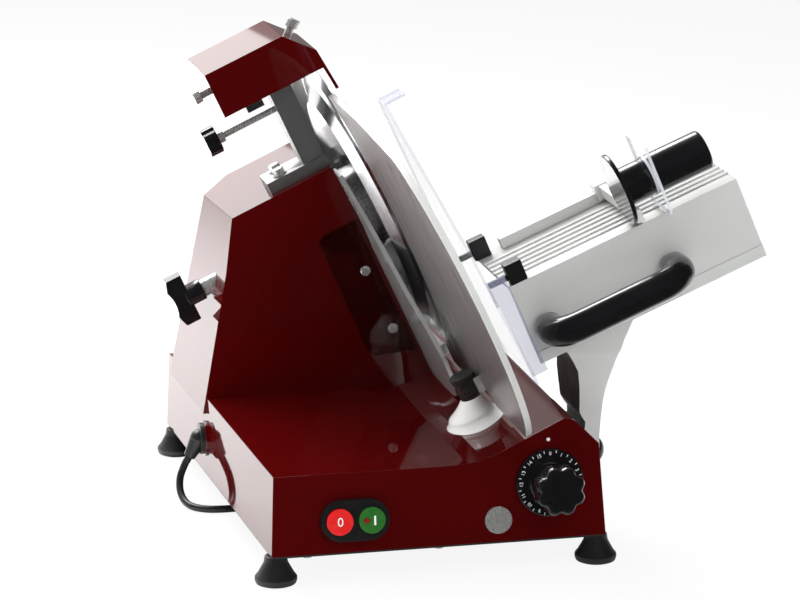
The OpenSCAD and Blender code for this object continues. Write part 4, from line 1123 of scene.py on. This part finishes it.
@dataclass
class Controls(Assembly):
    """Thickness dial and push-button switch."""

    figure: float = 4.6
    figure_radius: float = 26.8
    face: float = 6.0
    last: int = 15
    lobes: int = 8
    flute: float = 3.2
    crown: float = 23.0
    core: float = 10.0
    grip_low: float = 25.5
    dial_at: Span = (250.0, 80.0)
    switch_at: Span = (71.0, 58.0)
    button_x: float = 14.5

    def build(self) -> None:
        """Dresses dial and switch."""
        self.knob()
        self.keep("dial_cam", Finishes.steel)
        self.scale()
        self.index()
        self.soften("switch_housing", Finishes.black_satin, Body.FRAME, 1.4, 3)
        self.soften("stop_button", Finishes.stop, Body.STOP, 1.0, 3)
        self.soften("start_button", Finishes.start, Body.START, 1.0, 3)
        self.soften("pilot_lamp", Finishes.lamp, Body.START, 0.6)
        self.marks()

    def knob(self) -> None:
        """Turned dial whose grip is drawn in between its lobes."""
        r = self.crown
        bm = lathe(
            [(0, -12), (6, -12), (6, 0.4), (30.4, 0.4), (31, 1), (31, 4.8), (30.6, 5.6), (29.8, 6), (19, 6),
             (18, 7), (18, 25), (r - 3.4, 26), (r - 1, 27), (r - 0.2, 29), (r, 32), (r, 40), (r - 0.5, 43),
             (r - 1.8, 45), (r - 4, 46), (r - 7, 46), (r - 9, 45.2), (0, 44.6)], 96
        )
        for vert in bm.verts:
            reach = vert.co.xy.length
            if vert.co.z > self.grip_low and reach > self.core:
                wave = (0.5 + 0.5 * math.cos(self.lobes * math.atan2(vert.co.y, vert.co.x))) ** 1.6
                share = 1.0 - self.flute / r * wave * min(1.0, (reach - self.core) / 8.0)
                bmesh.ops.scale(bm, verts=[vert], vec=(share, share, 1.0))
        self.add("dial_knob_form", bm, Finishes.black, Body.DIAL, on_front(*self.dial_at), ("dial_knob",))

    def scale(self) -> None:
        """Pale figures and strokes round the dial."""
        bm = bmesh.new()
        step = 360.0 / (self.last + 1)
        for k in range(2 * (self.last + 1)):
            turn = Matrix.Rotation(math.radians(-step * k / 2), 4, "Z")
            if k % 2 == 0:
                part = lettering(str(k // 2), self.figure, 0.2)
                at = Matrix.Translation((0, self.figure_radius, self.face + 0.05))
            else:
                part = brick((-0.3, 27.4, self.face - 0.05), (0.3, 29.8, self.face + 0.15), 0.06, 1)
                at = Matrix.Identity(4)
            bmesh.ops.transform(part, matrix=turn @ at, verts=part.verts)
            merge(bm, part)
        self.add("dial_figures", bm, Finishes.print_white, Body.DIAL, on_front(*self.dial_at))

    def index(self) -> None:
        """Small raised dot above the dial."""
        dot = lathe([(0.0, -0.4), (1.7, -0.4), (1.7, 0.1), (1.2, 0.5), (0.0, 0.6)], 20)
        bmesh.ops.translate(dot, verts=dot.verts, vec=(0, 38.5, 0))
        self.add("dial_index", dot, Finishes.print_white, Body.FRAME, on_front(*self.dial_at))

    def marks(self) -> None:
        """The plain figures of the stop and start buttons."""
        zero = lettering("0", 11.5, 0.3)
        bmesh.ops.translate(zero, verts=zero.verts, vec=(-self.button_x, 0, 11.1))
        self.add("stop_mark", zero, Finishes.print_white, Body.STOP, on_front(*self.switch_at))
        one = brick((self.button_x + 1.4, -4.2, 10.9), (self.button_x + 3.2, 4.2, 11.2), 0.12, 1)
        self.add("start_mark", one, Finishes.print_white, Body.START, on_front(*self.switch_at))


@dataclass
class Sharpener(Assembly):
    """Sharpener hood, its frame, pins and lock knob."""

    lock_u: float = 125.0
    lock_n: float = -109.5
    collar_r: float = 6.3

    def on_rod(self, face: Face) -> bool:
        """True for the faces of the lock knob's steel rod and collar."""
        at = BLADE.inverted() @ face.calc_center_median()
        return at.x > self.lock_n and math.hypot(at.y, at.z - self.lock_u) < self.collar_r

    def build(self) -> None:
        """Dresses the sharpener."""
        self.soften("sharpener_hood", Finishes.red, Body.SHARPENER, 1.6, 3)
        self.soften("sharpener_frame", Finishes.dark_steel, Body.SHARPENER, 1.0)
        self.soften("grinding_pin", Finishes.steel, Body.GRINDER, 0.7)
        self.soften("deburring_pin", Finishes.steel, Body.DEBURRER, 0.7)
        self.soften(
            "sharpener_knob", Finishes.black, Body.POST_LOCK, 0.8, 2, second=Finishes.steel, pick=self.on_rod
        )


@dataclass
class Carriage(Assembly):
    """Carriage with arm, tray, handle, hand guard and pusher."""

    grip: float = 13.5
    neck: float = 10.0
    bend: float = 21.0
    handle_x: Span = (18.0, 140.0)
    handle_y: float = -42.0
    handle_z: float = -45.0

    def inner(self, face: Face) -> bool:
        """True for the arm's inner flank, which gets the black finish as painted shade of the arm's hollow
        side.
        """
        return face.normal.x < -0.5

    def shield_rim(self, face: Face) -> bool:
        """True for the narrow edge of the pusher shield, which stands across the tray's length."""
        return abs(face.normal.dot(TRAY.to_3x3().col[0].normalized())) < 0.5

    def guard_rim(self, face: Face) -> bool:
        """True for the edges and the flange of the hand guard, whose sheet is parallel to the blade."""
        return abs(face.normal.dot(BLADE.to_3x3().col[0].normalized())) < 0.5

    def upward(self, face: Face) -> bool:
        """True for the faces of the tray's bed, which get the darker satin copy as painted shade."""
        return face.normal.dot(TRAY.to_3x3().col[2].normalized()) > 0.7

    def build(self) -> None:
        """Dresses the carriage."""
        self.keep("carriage_slider", Finishes.cast)
        # The black second finish on the arm's inner flank is painted shade of its hollow side.
        self.soften(
            "carriage_arm", Finishes.arm, Body.CARRIAGE, 1.6, 3, second=Finishes.plate_black, pick=self.inner
        )
        self.soften("arm_knob", Finishes.black_satin, Body.ARM_LOCK, 0.8)
        # The bed's upward faces take the darker satin copy as painted shade.
        self.soften("food_tray", Finishes.tray, Body.CARRIAGE, 0.5, second=Finishes.bed, pick=self.upward)
        self.handle()
        self.keep("handle_screws", Finishes.steel)
        self.soften(
            "hand_guard", Finishes.clear, Body.CARRIAGE, 0.7, second=Finishes.guard_edge, pick=self.guard_rim
        )
        self.soften("guard_blocks", Finishes.black_satin, Body.CARRIAGE, 1.0)
        self.soften("pusher_rail", Finishes.tray, Body.CARRIAGE, 0.6)
        self.soften("pusher_arm", Finishes.arm, Body.PUSHER, 0.8)
        self.soften("pusher_handle", Finishes.black, Body.PUSHER, 1.2, 3)
        self.soften(
            "pusher_shield", Finishes.clear, Body.PUSHER, 0.5, second=Finishes.shield_edge,
            pick=self.shield_rim,
        )

    def handle(self) -> None:
        """Bent grip: one tube from the wall, round two bends and back."""
        bm = bmesh.new()
        near, far = self.handle_x
        place = Matrix.Translation((near, 0.0, self.handle_z)) @ Matrix.Rotation(math.pi / 2, 4, "X")
        ring = bmesh.ops.create_circle(bm, cap_ends=False, segments=32, radius=self.neck, matrix=place)
        geom = list({e for v in ring["verts"] for e in v.link_edges})
        straight = -self.handle_y - self.bend
        geom = self.run(bm, geom, (0, -straight * 0.5, 0), self.grip / self.neck)
        geom = self.run(bm, geom, (0, -straight * 0.5, 0), 1.0)
        geom = self.turn(bm, geom, (near + self.bend, self.handle_y + self.bend, self.handle_z), math.pi / 2)
        geom = self.run(bm, geom, (far - near - 2 * self.bend, 0, 0), 1.0)
        geom = self.turn(bm, geom, (far - self.bend, self.handle_y + self.bend, self.handle_z), math.pi / 2)
        geom = self.run(bm, geom, (0, straight * 0.5, 0), 1.0)
        self.run(bm, geom, (0, straight * 0.5, 0), self.neck / self.grip)
        bmesh.ops.remove_doubles(bm, verts=bm.verts, dist=1e-3)
        bmesh.ops.holes_fill(bm, edges=bm.edges, sides=0)
        bmesh.ops.recalc_face_normals(bm, faces=bm.faces)
        self.add("tray_handle_form", bm, Finishes.black, Body.CARRIAGE, TRAY, ("tray_handle",), sharp=50.0)

    def run(
        self, bm: Mesh, edges: list[Edge], step: Point, grow: float
    ) -> list[Edge]:
        """Draws a ring straight on.

        Args:
            bm: the mesh.
            edges: the ring.
            step: how far it goes.
            grow: how much wider it is at its end.

        Returns:
            The ring at the end.
        """
        made = bmesh.ops.extrude_edge_only(bm, edges=edges)["geom"]
        verts = [v for v in made if isinstance(v, bmesh.types.BMVert)]
        bmesh.ops.translate(bm, verts=verts, vec=step)
        middle = sum((v.co for v in verts), Vector()) / len(verts)
        bmesh.ops.scale(bm, verts=verts, vec=(grow, grow, grow), space=Matrix.Translation(-middle))
        return [e for e in made if isinstance(e, Edge)]

    def turn(
        self, bm: Mesh, edges: list[Edge], centre: Point, angle: float
    ) -> list[Edge]:
        """Draws a ring round a bend and returns the ring at its end."""
        made = bmesh.ops.spin(
            bm, geom=[*edges, *{v for e in edges for v in e.verts}], cent=centre, axis=(0, 0, 1), angle=angle,
            steps=10, use_merge=False, use_duplicate=False,
        )["geom_last"]
        return [e for e in made if isinstance(e, Edge)]


def main() -> None:
    """Builds the studio and every sub-assembly."""
    logging.basicConfig(level=logging.INFO, format="%(message)s")
    Studio().build()
    for part in (Lead(), Casting(), BladeUnit(), GaugeUnit(), Controls(), Sharpener(), Carriage()):
        part.build()


if __name__ == "__main__":
    main()
